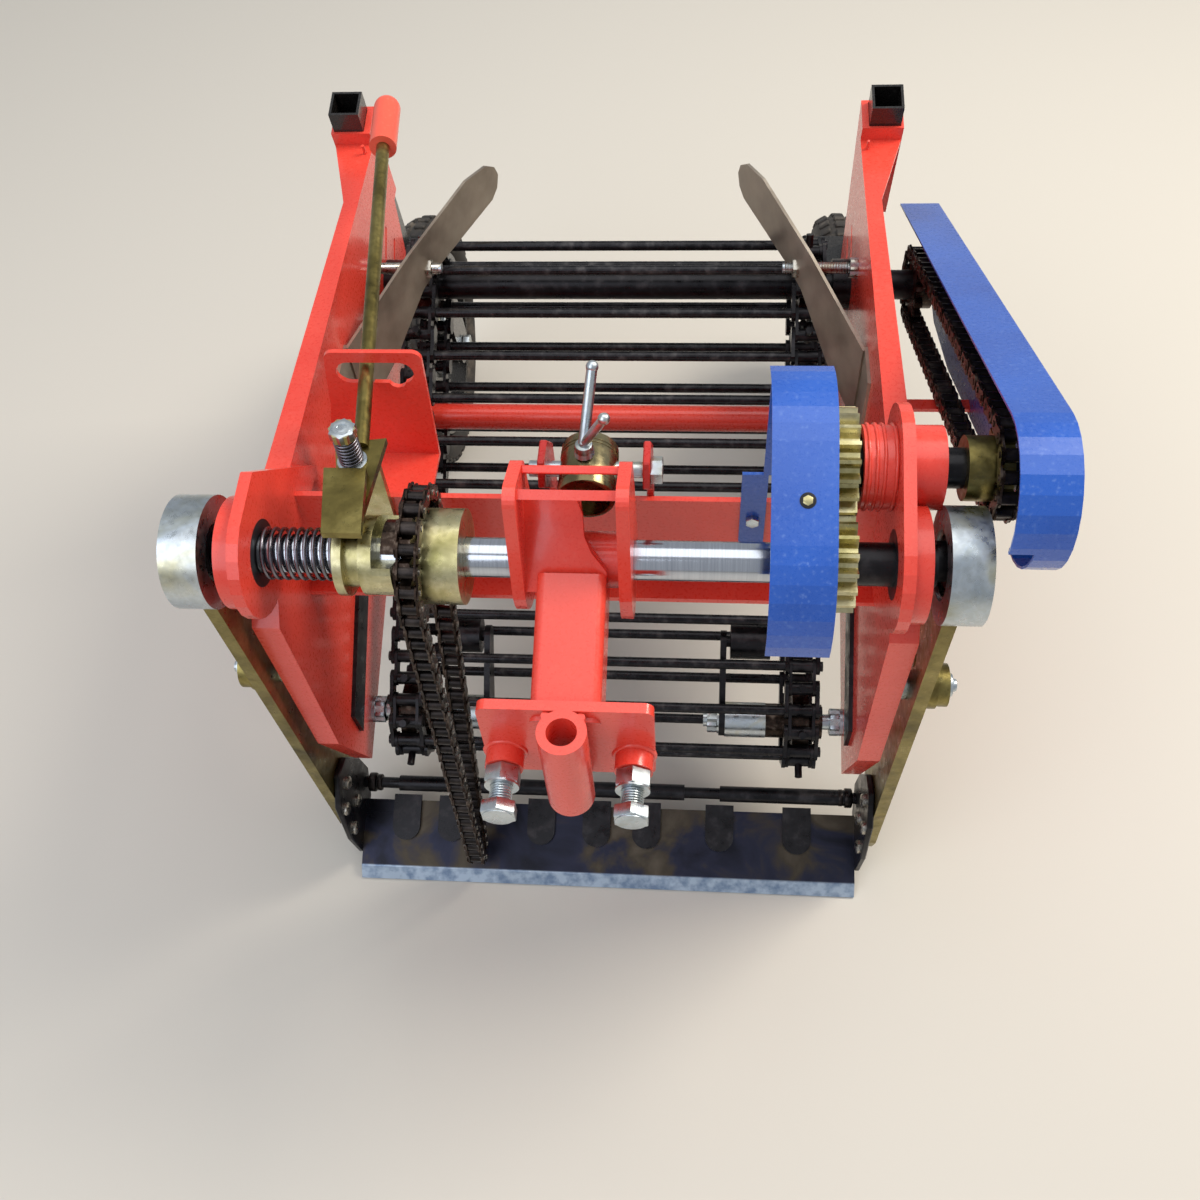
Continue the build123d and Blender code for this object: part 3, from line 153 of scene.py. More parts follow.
def add_range(tree, source, low, high, new_low, new_high):
    """A value's range moved to another."""
    node = add_node(tree, "ShaderNodeMapRange", {"Value": source})
    for socket, value in zip(("From Min", "From Max", "To Min", "To Max"), (low, high, new_low, new_high)):
        node.inputs[socket].default_value = value
    return node.outputs["Result"]


def new_material(name):
    """An empty material with its shader and output."""
    material = bpy.data.materials.new(name)
    material.use_nodes = True
    tree = material.node_tree
    tree.nodes.clear()
    shader = add_node(tree, "ShaderNodeBsdfPrincipled")
    output = tree.nodes.new("ShaderNodeOutputMaterial")
    tree.links.new(shader.outputs["BSDF"], output.inputs["Surface"])
    place = tree.nodes.new("ShaderNodeTexCoord").outputs["Object"]
    print("material", name)
    return material, tree, shader, place


def add_bump(tree, shader, height, strength, distance):
    """Bump from a height, in metres."""
    bump = add_node(tree, "ShaderNodeBump", {"Height": height}, Strength=strength, Distance=distance)
    tree.links.new(bump.outputs["Normal"], shader.inputs["Normal"])


# %% [markdown]
# ## Sprayed enamel
# The frame is sprayed with one coat of orange-red enamel over welded plate, so it is glossy and
# a little wavy, darker where the coat is thin, with fine dust on it. The blue guards and the
# black legs are the same paint in other colours.

# %% Enamel paints


def sprayed_enamel(name, colour, thin, dusty, roughness=0.28, dust=0.3):
    """Glossy paint: base colour, thin-coat tone, dust tone."""
    material, tree, shader, place = new_material(name)
    # cloudy tone of a hand-sprayed coat, about 90 mm across
    cloud = add_node(tree, "ShaderNodeTexNoise", {"Vector": place}, Scale=11.0, Detail=2.0)
    tone = add_ramp(tree, cloud.outputs["Fac"], (0.3, thin), (0.6, colour))
    # specks of dust and over-spray, about 3 mm, drawn coarser than real so that they show
    speck = add_node(tree, "ShaderNodeTexNoise", {"Vector": place}, Scale=320.0, Detail=3.0)
    dust_share = add_range(tree, speck.outputs["Fac"], 0.58, 0.8, 0.0, dust)
    tree.links.new(add_mix(tree, dust_share, tone, dusty), shader.inputs["Base Color"])
    # gloss varies with the dust
    gloss = add_range(tree, speck.outputs["Fac"], 0.3, 0.7, roughness - 0.05, roughness + 0.1)
    tree.links.new(gloss, shader.inputs["Roughness"])
    # orange peel, about 4 mm across
    peel = add_node(tree, "ShaderNodeTexNoise", {"Vector": place}, Scale=250.0, Detail=2.0)
    add_bump(tree, shader, peel.outputs["Fac"], 0.1, 0.0006)
    shader.inputs["Coat Weight"].default_value = 0.3
    shader.inputs["Coat Roughness"].default_value = 0.1
    return material


# the frame: bright orange-red in the sun, a shade deeper where the coat is thin
orange_paint = sprayed_enamel("orange_red_enamel", "#E74A3A", "#DE3F31", "#F08472", dust=0.2)
# the parts in the machine's own shade: the same enamel, but duller and redder
dark_paint = sprayed_enamel("dark_red_enamel", "#BE2C26", "#AC211D", "#D25A4C", dust=0.2)
# the guards: clear mid blue, with chalky dust that pales it
blue_paint = sprayed_enamel("blue_enamel", "#2458B4", "#1F4DA4", "#86A4DC", dust=0.35)
# legs and rims: almost black, so that only its gloss shows the shape
black_paint = sprayed_enamel("black_enamel", "#181615", "#100F0E", "#4A4641", roughness=0.26)
# the lever's grip: paler and softer than paint, with a wide dull highlight
red_grip = sprayed_enamel("dipped_red_vinyl", "#F06048", "#E5533D", "#F58E78", roughness=0.36)

# %% [markdown]
# ## Zinc plate
# Arms, gears, bolts and lever are zinc plated and passivated yellow. That film is only a
# fraction of a micron thick, so it shifts between straw, olive and violet from place to place,
# over the fine crystals of the zinc.

# %% Zinc plates


def zinc_plate(name, tones, roughness=0.3, patch=22.0, crystal=0.5):
    """Passivated zinc: drifting film tones and a crystal grain of about 2 mm."""
    material, tree, shader, place = new_material(name)
    # the film's tone drifts over some 45 mm
    drift = add_node(tree, "ShaderNodeTexNoise", {"Vector": place}, Scale=patch, Detail=4.0, Distortion=0.6)
    stops = [(0.3 + 0.42 * k / (len(tones) - 1), tone) for k, tone in enumerate(tones)]
    tone = add_ramp(tree, drift.outputs["Fac"], *stops)
    grain = add_node(tree, "ShaderNodeTexVoronoi", {"Vector": place}, Scale=430.0)
    grain_share = add_range(tree, grain.outputs["Color"], 0.2, 0.9, 0.0, crystal * 0.5)
    tree.links.new(add_mix(tree, grain_share, tone, tones[0]), shader.inputs["Base Color"])
    shader.inputs["Metallic"].default_value = 1.0
    # rubbed places about 6 mm across
    rub = add_node(tree, "ShaderNodeTexNoise", {"Vector": place}, Scale=160.0, Detail=4.0)
    rough = add_range(tree, rub.outputs["Fac"], 0.3, 0.7, roughness - 0.08, roughness + 0.14)
    tree.links.new(rough, shader.inputs["Roughness"])
    add_bump(tree, shader, rub.outputs["Fac"], 0.12, 0.0004)
    return material


# gears and small turned parts: pale straw, with a grey drift
yellow_zinc = zinc_plate("yellow_passivated_zinc", ("#8C8656", "#B9B080", "#D2CAA2", "#A89C78"))
# arms and lever: a thick film on rough bar, olive and almost brown
olive_zinc = zinc_plate(
    "olive_passivated_zinc", ("#574E2C", "#7C7040", "#978A54", "#6E6038"), roughness=0.34)
# bolts, nuts and housings: a thin clear film, cold silver with a hint of straw
silver_zinc = zinc_plate(
    "clear_passivated_zinc", ("#A3A79E", "#BAC4CC", "#CBD2D6", "#C6C2A6"), roughness=0.3)
# clutch and barrel: smooth from the lathe, so the bronze tone has sharp highlights
bronze_zinc = zinc_plate(
    "turned_bronze_zinc", ("#6E6448", "#8F8462", "#A89C78", "#7A7256"), roughness=0.24)
# springs: grey wire under oil, bright along each turn
spring_steel = zinc_plate(
    "oiled_spring_steel", ("#4E4C50", "#74727A", "#8E8C94", "#6A6466"), roughness=0.25)

# %% [markdown]
# ## Ground shaft steel
# The main shaft is turned and ground bright. Its grinding marks run round it, so the finish is
# stretched: fine across the shaft's length and long round it, which smears the highlight.

# %% Ground steel
ground_steel, ground_tree, ground_shader, ground_place = new_material("ground_bright_steel")
ground_map = add_node(ground_tree, "ShaderNodeMapping", {"Vector": ground_place})
# marks 1.5 mm apart along the shaft, drawn coarser than real
ground_map.inputs["Scale"].default_value = (660.0, 20.0, 20.0)
ground_marks = add_node(
    ground_tree, "ShaderNodeTexNoise", {"Vector": ground_map.outputs["Vector"]}, Scale=1.0)
ground_tone = add_ramp(ground_tree, ground_marks.outputs["Fac"], (0.3, "#B4B9C2"), (0.7, "#C6CBD3"))
ground_tree.links.new(ground_tone, ground_shader.inputs["Base Color"])
ground_shader.inputs["Metallic"].default_value = 1.0
ground_rough = add_range(ground_tree, ground_marks.outputs["Fac"], 0.3, 0.7, 0.12, 0.18)
ground_tree.links.new(ground_rough, ground_shader.inputs["Roughness"])
add_bump(ground_tree, ground_shader, ground_marks.outputs["Fac"], 0.03, 0.0001)

# %% [markdown]
# ## Black and oily steel
# Rods and idlers are blackened steel. Chains and sprockets carry grease with soil in it, which
# is brown in the hollows and shiny where the links rub.

# %% Dark steels


def dark_steel(name, tones, metallic=0.6, roughness=0.35, scale=60.0):
    """Blackened or oily steel: dark base, lighter where worn."""
    material, tree, shader, place = new_material(name)
    # worn patches: 17 mm across at the usual scale of 60
    patch = add_node(tree, "ShaderNodeTexNoise", {"Vector": place}, Scale=scale, Detail=5.0, Roughness=0.6)
    stops = [(0.36 + 0.36 * k / (len(tones) - 1), tone) for k, tone in enumerate(tones)]
    tree.links.new(add_ramp(tree, patch.outputs["Fac"], *stops), shader.inputs["Base Color"])
    shader.inputs["Metallic"].default_value = metallic
    rough = add_range(tree, patch.outputs["Fac"], 0.3, 0.7, roughness - 0.1, roughness + 0.18)
    tree.links.new(rough, shader.inputs["Roughness"])
    add_bump(tree, shader, patch.outputs["Fac"], 0.2, 0.0005)
    return material


# rollers, hinge and conveyor chain: dull black with a low grey sheen
black_steel = dark_steel("blackened_steel", ("#131215", "#1E1D20", "#3A383A"), roughness=0.3)
# the rods: black, rubbed a little brighter by soil and crop
rod_steel = dark_steel("blackened_rod_steel", ("#151417", "#242326", "#4A4848"), roughness=0.26, scale=90.0)
# chain plates: grease brown in the hollows, worn metal on the high places
oiled_steel = dark_steel(
    "greased_chain_steel", ("#1E1510", "#3B2E26", "#7E7064"), metallic=0.85, roughness=0.3, scale=110.0)
# chain rollers and collars: darker, with an even film of grease
roller_steel = dark_steel(
    "greased_roller_steel", ("#191514", "#2B2523", "#4C4440"), metallic=0.7, roughness=0.3)
# pins and races: bright where they rub
pin_steel = dark_steel(
    "rubbed_pin_steel", ("#8A857C", "#B5B0A6", "#D5D2CB"), metallic=1.0, roughness=0.25, scale=200.0)
# seals of the bearings: black rubber, hardly any shine
bearing_seal = dark_steel(
    "rubber_sealed_bearing", ("#141317", "#1D1C21", "#2B2A30"), metallic=0.1, roughness=0.45)
# deflectors: warm grey sheet with a wide blurred highlight, patches 77 mm across
stainless = dark_steel(
    "rolled_stainless_sheet", ("#8C8073", "#A69B8C", "#B9AFA0"), metallic=0.8, roughness=0.42, scale=13.0)
# tyres: charcoal rubber, browner and paler with dry soil
tyre_rubber = dark_steel(
    "dusty_tyre_rubber", ("#232120", "#34302C", "#6A6258"), metallic=0.0, roughness=0.7, scale=45.0)
# painted shade: near-black steel standing for the shade inside a hole, so that a disc reads as one
hole_shade_paint = dark_steel("painted_hole_shade", ("#0C0B0C", "#141315", "#201F20"), metallic=0.2, roughness=0.6)

# %% [markdown]
# ## Blade steel
# The blade is hot-rolled spring steel with its dark scale still on, rubbed to brown and blue in
# patches, and its bevel is ground bright. The bevel is told apart by how far back a point lies.

# %% Blade steel
blade_steel, blade_tree, blade_shader, blade_place = new_material("scaled_blade_steel")
# patches of scale about 77 mm across
scale_patch = add_node(
    blade_tree, "ShaderNodeTexNoise", {"Vector": blade_place}, Scale=13.0, Detail=5.0, Distortion=0.8)
scale_tone = add_ramp(
    blade_tree, scale_patch.outputs["Fac"],
    (0.34, "#15161F"), (0.48, "#262838"), (0.56, "#40392F"), (0.7, "#5A5246"))
blade_split = add_node(blade_tree, "ShaderNodeSeparateXYZ", {"Vector": blade_place})
edge_share = add_range(blade_tree, blade_split.outputs["Y"], at(0, 12, 0).y, at(0, 9.5, 0).y, 0.0, 1.0)
# grinding marks of the bevel, 11 mm across and so coarser than real, to show at this distance
edge_grit = add_node(blade_tree, "ShaderNodeTexNoise", {"Vector": blade_place}, Scale=90.0, Detail=4.0)
edge_tone = add_ramp(blade_tree, edge_grit.outputs["Fac"], (0.35, "#7F93AE"), (0.6, "#B9C9DA"))
blade_tone = add_mix(blade_tree, edge_share, scale_tone, edge_tone)
blade_tree.links.new(blade_tone, blade_shader.inputs["Base Color"])
blade_shader.inputs["Metallic"].default_value = 0.75
blade_rough = add_range(blade_tree, scale_patch.outputs["Fac"], 0.3, 0.7, 0.26, 0.5)
blade_tree.links.new(blade_rough, blade_shader.inputs["Roughness"])
add_bump(blade_tree, blade_shader, edge_grit.outputs["Fac"], 0.2, 0.0006)

# %% [markdown]
# ## Give each CAD body its finish
# The record names a material slot for each node. Here each slot gets its finish, by name. A few
# nodes differ from their slot's usual finish: the arms are the darker olive film, the wear
# strips beside the rods are black, and the conveyor's rods are rubbed brighter.

# %% Finishes on the CAD nodes
FINISHES = {
    "orange_paint": orange_paint,
    "dark_paint": dark_paint,
    "blue_paint": blue_paint,
    "black_paint": black_paint,
    "rim_paint": black_paint,
    "bearing_steel": bearing_seal,
    "black_steel": black_steel,
    "oiled_steel": oiled_steel,
    "yellow_zinc": yellow_zinc,
    "silver_zinc": silver_zinc,
    "bronze_zinc": bronze_zinc,
    "ground_steel": ground_steel,
    "spring_steel": spring_steel,
    "blade_steel": blade_steel,
    "stainless": stainless,
    "red_grip": red_grip,
    "tyre": tyre_rubber,
}
NODE_FINISHES = {
    "swing_arm_left": olive_zinc,
    "swing_arm_right": olive_zinc,
    "clutch_lever": olive_zinc,
    "side_strips": black_steel,
    "conveyor_rods": rod_steel,
    "counter_sprocket": olive_zinc,
    "front_spacers": silver_zinc,
}
for entry in frame["record"]["subparts"]:
    node = frame["nodes"][entry["node"]]
    for node_slot in node.material_slots:
        node_slot.material = NODE_FINISHES.get(entry["node"], FINISHES[entry["material_slot"]])
print("finishes", len(FINISHES) + len(NODE_FINISHES))

# %% [markdown]
# ## Modelling helpers
# Pieces are made as by hand: a primitive at its size and place, shaped in edit mode, then its
# place is applied to the mesh. The operators act on what is selected, so each step starts by
# selecting nothing, and edges or faces are picked by where they lie.

# %% Modelling helpers
AXES = {"X": Vector((1, 0, 0)), "Y": Vector((0, 1, 0)), "Z": Vector((0, 0, 1))}


def deselect():
    """Object mode with nothing selected."""
    if bpy.context.mode != "OBJECT":
        bpy.ops.object.mode_set(mode="OBJECT")
    bpy.ops.object.select_all(action="DESELECT")


def use(piece):
    """Selects one piece alone and makes it active."""
    deselect()
    piece.select_set(True)
    bpy.context.view_layer.objects.active = piece


def turn_to(axis):
    """The rotation that lays a primitive's own Z along an axis."""
    direction = AXES[axis] if isinstance(axis, str) else Vector(axis)
    return direction.to_track_quat("Z", "Y").to_euler()


def round_bar(radius, length, place, axis="X", sides=32):
    """A cylinder with its middle at a drawing point, sizes in mm."""
    deselect()
    bpy.ops.mesh.primitive_cylinder_add(
        vertices=sides, radius=radius * MM, depth=length * MM, location=at(*place), rotation=turn_to(axis))
    return bpy.context.active_object


def bar_between(start, end, radius, sides=16):
    """A round bar from one drawing point to another."""
    span = Vector(end) - Vector(start)
    return round_bar(radius, span.length, (Vector(start) + Vector(end)) / 2, span, sides)


def ball(radius, place):
    """A ball end."""
    deselect()
    bpy.ops.mesh.primitive_uv_sphere_add(
        segments=20, ring_count=10, radius=radius * MM, location=at(*place))
    return bpy.context.active_object


def pick(piece, kind, test):
    """In edit mode, selects the verts, edges or faces whose middle passes a test, in mm."""
    bpy.ops.mesh.select_mode(type={"verts": "VERT", "edges": "EDGE", "faces": "FACE"}[kind])
    bpy.ops.mesh.select_all(action="DESELECT")
    mesh = bmesh.from_edit_mesh(piece.data)
    for item in getattr(mesh, kind):
        if kind == "verts":
            middle = item.co.copy()
        else:
            middle = sum((v.co for v in item.verts), Vector()) / len(item.verts)
        if test(middle / MM):
            item.select_set(True)
    bmesh.update_edit_mesh(piece.data)


def rim_bevel(piece, length, offset, segments=2):
    """Bevels the edges round both ends of a bar of that length."""
    use(piece)
    bpy.ops.object.mode_set(mode="EDIT")
    pick(piece, "edges", lambda p: abs(abs(p.z) - length / 2) < 0.01)
    bpy.ops.mesh.bevel(offset=offset * MM, segments=segments, affect="EDGES")
    bpy.ops.object.mode_set(mode="OBJECT")
    return piece


def washer(outer, inner, thickness, place, axis="X", sides=36):
    """A flat ring: a disc's two end faces inset, then bridged through."""
    piece = round_bar(outer, thickness, place, axis, sides)
    use(piece)
    bpy.ops.object.mode_set(mode="EDIT")
    pick(piece, "faces", lambda p: abs(abs(p.z) - thickness / 2) < 0.01)
    bpy.ops.mesh.inset(thickness=(outer - inner) * MM)
    bpy.ops.mesh.bridge_edge_loops()
    bpy.ops.object.mode_set(mode="OBJECT")
    return piece


def hexagon(flats, height, place, axis="X"):
    """A nut or bolt head with chamfered corners."""
    piece = round_bar(flats / 2 / math.cos(math.pi / 6), height, place, axis, 6)
    return rim_bevel(piece, height, flats * 0.045)


def flat_plate(outline, x0, x1, edge=1.0):
    """A plate across X: a disc's rim drawn out to (y, z) points, extruded, its edges broken."""
    deselect()
    bpy.ops.mesh.primitive_circle_add(vertices=len(outline), radius=0.05, fill_type="NGON")
    piece = bpy.context.active_object
    piece.location = (0, 0, 0)
    bpy.ops.object.mode_set(mode="EDIT")
    mesh = bmesh.from_edit_mesh(piece.data)
    for vertex, (y, z) in zip(mesh.verts, outline):
        vertex.co = at(x0, y, z)
    bmesh.update_edit_mesh(piece.data)
    bpy.ops.mesh.select_all(action="SELECT")
    bpy.ops.mesh.extrude_region_move(TRANSFORM_OT_translate={"value": ((x1 - x0) * MM, 0, 0)})
    bpy.ops.mesh.select_all(action="SELECT")
    bpy.ops.mesh.bevel(offset=edge * MM, segments=1, affect="EDGES")
    bpy.ops.object.mode_set(mode="OBJECT")
    return piece


def helix(section, sides, radius, pitch, length, place, axis, steps):
    """A small round section carried round and along an axis by the Screw modifier."""
    deselect()
    bpy.ops.mesh.primitive_circle_add(
        vertices=sides, radius=section * MM, location=(0, 0, 0), rotation=(math.pi / 2, 0, 0))
    piece = bpy.context.active_object
    bpy.ops.object.transform_apply(location=False, rotation=True, scale=False)
    bpy.ops.object.mode_set(mode="EDIT")
    bpy.ops.mesh.select_all(action="SELECT")
    bpy.ops.transform.translate(value=(radius * MM, 0, 0))
    bpy.ops.object.mode_set(mode="OBJECT")
    turns = length / pitch
    screw = piece.modifiers.new("helix", "SCREW")
    screw.axis = "Z"
    screw.angle = 2 * math.pi * turns
    screw.screw_offset = length * MM
    screw.steps = int(steps * turns)
    screw.render_steps = screw.steps
    bpy.ops.object.modifier_apply(modifier=screw.name)
    start = Matrix.Translation((0, 0, -length / 2 * MM))
    piece.matrix_world = Matrix.Translation(at(*place)) @ turn_to(axis).to_matrix().to_4x4() @ start
    return piece


def thread(radius, pitch, length, place, axis="X"):
    """A bolt's helical ridge, three-sided."""
    return helix(pitch * 0.42, 3, radius - pitch * 0.16, pitch, length, place, axis, 14)


def join(*parts):
    """Several pieces as one, each with its place applied first."""
    deselect()
    for part in parts:
        part.select_set(True)
    bpy.context.view_layer.objects.active = parts[0]
    bpy.ops.object.transform_apply(location=True, rotation=True, scale=True)
    if len(parts) > 1:
        bpy.ops.object.join()
    return bpy.context.active_object


def repeat(piece, places):
    """Copies of a piece modelled at the drawing's own origin, one for each matrix, joined."""
    copies = []
    for place in places:
        copy = piece.copy()
        copy.data = piece.data.copy()
        bpy.context.scene.collection.objects.link(copy)
        copy.matrix_world = place
        copies.append(copy)
    bpy.data.objects.remove(piece)
    return join(*copies)


def settle(piece, name, finish, body, smooth=38):
    """Applies the piece's place, points its faces outwards and names what carries it."""
    use(piece)
    bpy.ops.object.transform_apply(location=True, rotation=True, scale=True)
    bpy.ops.object.mode_set(mode="EDIT")
    bpy.ops.mesh.select_mode(type="VERT")
    bpy.ops.mesh.select_all(action="SELECT")
    bpy.ops.mesh.normals_make_consistent(inside=False)
    bpy.ops.object.mode_set(mode="OBJECT")
    bpy.ops.object.shade_smooth_by_angle(angle=math.radians(smooth))
    piece.name = name
    piece.data.name = name
    piece.data.materials.clear()
    piece.data.materials.append(finish)
    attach(piece, body)
    print(name, "rides", body, "with", len(piece.data.polygons), "faces")
    return piece


def both_sides(make):
    """Two like pieces, made at +X and -X by the same function of the side, joined."""
    return join(make(1), make(-1))


# %% [markdown]
# ## Chain links
# A roller chain is inner and outer links in turn. An inner link is two waisted plates with a
# roller at each end, and an outer link two plates with pins. Each is modelled once and copied
# from joint to joint round its loop. The plates have few sides, because there are hundreds.

# %% Loops and links


def loop_joints(c1, r1, c2, r2, count, first=0.0):
    """Joints (y, z) evenly round a belt line about two circles, from its upper run's start."""
    span = math.hypot(c2[0] - c1[0], c2[1] - c1[1])
    base = math.atan2(c2[1] - c1[1], c2[0] - c1[0])
    lean = math.acos((r1 - r2) / span)
    run = span * math.sin(lean)
    far_arc = r2 * 2 * lean
    total = 2 * run + far_arc + r1 * (2 * math.pi - 2 * lean)

    def on(c, r, angle):
        return Vector((c[0] + r * math.cos(angle), c[1] + r * math.sin(angle)))

    joints = []
    for k in range(count):
        s = (first + total * k / count) % total
        if s < run:
            joints.append(on(c1, r1, base + lean).lerp(on(c2, r2, base + lean), s / run))
        elif s < run + far_arc:
            joints.append(on(c2, r2, base + lean - (s - run) / r2))
        elif s < 2 * run + far_arc:
            share = (s - run - far_arc) / run
            joints.append(on(c2, r2, base - lean).lerp(on(c1, r1, base - lean), share))
        else:
            joints.append(on(c1, r1, base - lean - (s - 2 * run - far_arc) / r1))
    return joints


def link_plate(pitch, height, thickness, x):
    """A waisted plate from the origin to (0, pitch), across X at x."""
    deselect()
    turn = Matrix.Rotation(math.radians(15), 3, "X") @ Matrix.Rotation(math.radians(90), 3, "Y")
    bpy.ops.mesh.primitive_cylinder_add(
        vertices=12, radius=height / 2 * MM, depth=thickness * MM,
        location=(0, 0, 0), rotation=turn.to_euler())
    piece = bpy.context.active_object
    bpy.ops.object.transform_apply(location=True, rotation=True, scale=True)
    bpy.ops.object.mode_set(mode="EDIT")
    pick(piece, "verts", lambda p: p.y > 0)
    bpy.ops.transform.translate(value=(0, pitch * MM, 0))
    # the long edges get a middle, which is pressed in to the waist
    pick(piece, "edges", lambda p: abs(p.y - pitch / 2) < pitch * 0.2 and abs(p.z) > height * 0.2)
    bpy.ops.mesh.subdivide(number_cuts=1)
    pick(piece, "verts", lambda p: abs(p.y - pitch / 2) < pitch * 0.05)
    bpy.ops.transform.resize(value=(1, 1, 0.74), center_override=(0, pitch / 2 * MM, 0))
    bpy.ops.mesh.select_all(action="SELECT")
    bpy.ops.transform.translate(value=(x * MM, 0, 0))
    bpy.ops.object.mode_set(mode="OBJECT")
    return piece


def joint_bar(radius, x0, x1, y):
    """A roller or pin across X at a joint."""
    deselect()
    bpy.ops.mesh.primitive_cylinder_add(
        vertices=10, radius=radius * MM, depth=(x1 - x0) * MM,
        location=((x0 + x1) / 2 * MM, y * MM, 0), rotation=(0, math.pi / 2, 0))
    return bpy.context.active_object


def lay_links(piece, joints, first, x, lean=None):
    """Copies of a link at every second joint, each turned along its chord."""
    places = []
    count = len(joints)
    for k in range(first, count, 2):
        a, b = joints[k], joints[(k + 1) % count]
        turn = Matrix.Rotation(math.atan2(b.y - a.y, b.x - a.x), 4, "X")
        if lean is None:
            places.append(Matrix.Translation(at(x, a.x, a.y)) @ turn)
        else:
            centre, tilt = lean
            swing = Matrix.Rotation(math.radians(tilt), 4, "Y")
            offset = Vector((0, a.x - centre[1], a.y - centre[2])) * MM
            places.append(Matrix.Translation(at(*centre)) @ swing @ Matrix.Translation(offset) @ turn)
    return repeat(piece, places)


# %% [markdown]
# ## Conveyor chains
# Each side of the rod bed hangs on one steel chain of 22 mm pitch. The rods are its pins at
# every second joint, so the real chain's plates stand where the solids' plain bands are.

# %% Conveyor chains
WEB_PITCH = 22.225
web_joints = loop_joints(FRONT_AXLE, WEB_R, REAR_AXLE, WEB_R, 52, 12.0)
web_parts = []
for x in (-199.0, 199.0):
    outer = join(*[link_plate(WEB_PITCH, 17.0, 3.6, side * 15.2) for side in (-1, 1)])
    inner = join(*[link_plate(WEB_PITCH, 16.0, 3.0, side * 11.6) for side in (-1, 1)],
                 *[joint_bar(6.6, -10.0, 10.0, y) for y in (0, WEB_PITCH)])
    web_parts.append(lay_links(outer, web_joints, 0, x))
    web_parts.append(lay_links(inner, web_joints, 1, x))
    web_parts.append(lay_links(joint_bar(3.8, -18.5, 18.5, 0), web_joints, 1, x))
web_chain = settle(join(*web_parts), "conveyor_chain_links", black_steel, "frame")
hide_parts("conveyor_chains")
print("conveyor chain triangles", sum(len(p.vertices) - 2 for p in web_chain.data.polygons))

# %% [markdown]
# ## Side chain and input chain
# Both are common roller chain of 15.875 mm pitch. The side chain runs tight from the
# countershaft to the rear shaft. The input chain waits for the tractor's sprocket, so it hangs
# loose from the drive sprocket with its low end swung a little outwards.

# %% Side chain
ROLLER_PITCH = 15.875
SIDE_R = 33.167
SIDE_X = 311.0
side_joints = loop_joints(COUNTER, SIDE_R, REAR_AXLE, SIDE_R, 68, 4.0)


def roller_chain(joints, x, lean=None):
    """Plates, rollers and pins of a roller chain."""
    inner_plates = join(*[link_plate(ROLLER_PITCH, 14.2, 1.5, side * 6.5) for side in (-1, 1)])
    outer_plates = join(*[link_plate(ROLLER_PITCH, 12.6, 1.5, side * 8.1) for side in (-1, 1)])
    rollers = join(*[joint_bar(5.0, -5.6, 5.6, y) for y in (0, ROLLER_PITCH)])
    pins = join(*[joint_bar(2.5, -9.6, 9.6, y) for y in (0, ROLLER_PITCH)])
    plates = join(lay_links(inner_plates, joints, 0, x, lean), lay_links(outer_plates, joints, 1, x, lean))
    return plates, lay_links(rollers, joints, 0, x, lean), lay_links(pins, joints, 1, x, lean)


plates, rollers, pins = roller_chain(side_joints, SIDE_X)
side_plates = settle(plates, "side_chain_plates", oiled_steel, "frame")
settle(rollers, "side_chain_rollers", roller_steel, "frame")
settle(pins, "side_chain_pins", oiled_steel, "frame")
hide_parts("side_chain")

# %% Input chain
DRIVE_R = 48.223
DRIVE_X = -113.0
LEAN = 2.4
input_joints = loop_joints(SHAFT, DRIVE_R, (18.0, 46.0), 9.0, 72, 2.0)
plates, rollers, pins = roller_chain(input_joints, 0.0, ((DRIVE_X, *SHAFT), LEAN))
input_plates = settle(plates, "input_chain_plates", oiled_steel, "frame")
settle(rollers, "input_chain_rollers", roller_steel, "frame")
settle(pins, "input_chain_pins", pin_steel, "frame")
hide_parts("input_chain")
print("chain joints", len(web_joints), len(side_joints), len(input_joints))

# %% [markdown]
# ## Hitch bolts
# Two M16 bolts clamp the tractor's hitch. Bolt, thread and locknut are bright zinc. The thread
# is a real helix of 2 mm pitch, so that its lines show in the light as they do on the real one.
# A nut locks each bolt against the plate's boss, with a washer between.

# %% Hitch bolts
hitch_parts = []
for x in (DRAW_X - HITCH_BOLT_X, DRAW_X + HITCH_BOLT_X):
    hitch_parts += [
        hexagon(24.0, 10.0, (x, HITCH_Y - 47.0, HITCH_BOLT_Z), "Y"),
        rim_bevel(round_bar(11.4, 1.0, (x, HITCH_Y - 52.2, HITCH_BOLT_Z), "Y"), 1.0, 0.3),
        rim_bevel(round_bar(7.6, 86.0, (x, HITCH_Y - 3.0, HITCH_BOLT_Z), "Y"), 86.0, 1.6),
        thread(8.0, 2.0, 80.0, (x, HITCH_Y - 3.0, HITCH_BOLT_Z), "Y"),
        hexagon(24.0, 13.0, (x, HITCH_Y - 21.0, HITCH_BOLT_Z), "Y"),
        washer(12.6, 8.4, 1.6, (x, HITCH_Y - 27.8, HITCH_BOLT_Z), "Y"),
    ]
hitch_set = settle(join(*hitch_parts), "hitch_bolt_set", silver_zinc, "drawbar", 30)
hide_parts("hitch_bolts")

# %% [markdown]
# ## Weld beads
# The frame is stick welded by hand, and the beads show through the paint as ropes with ripples.
# A bead is a bar of many rings, roughened by a noise displacement and pressed onto its seam.

# %% Weld beads
weld_noise = bpy.data.textures.new("weld_ripple", "CLOUDS")
weld_noise.noise_scale = 0.006


def ripple(piece, strength):
    """Displaces a bead by a few tenths of a millimetre."""
    use(piece)
    bpy.ops.object.transform_apply(location=True, rotation=True, scale=True)
    modifier = piece.modifiers.new("ripple", "DISPLACE")
    modifier.texture = weld_noise
    modifier.texture_coords = "GLOBAL"
    modifier.strength = strength * MM
    modifier.mid_level = 0.5
    bpy.ops.object.modifier_apply(modifier=modifier.name)
    return piece


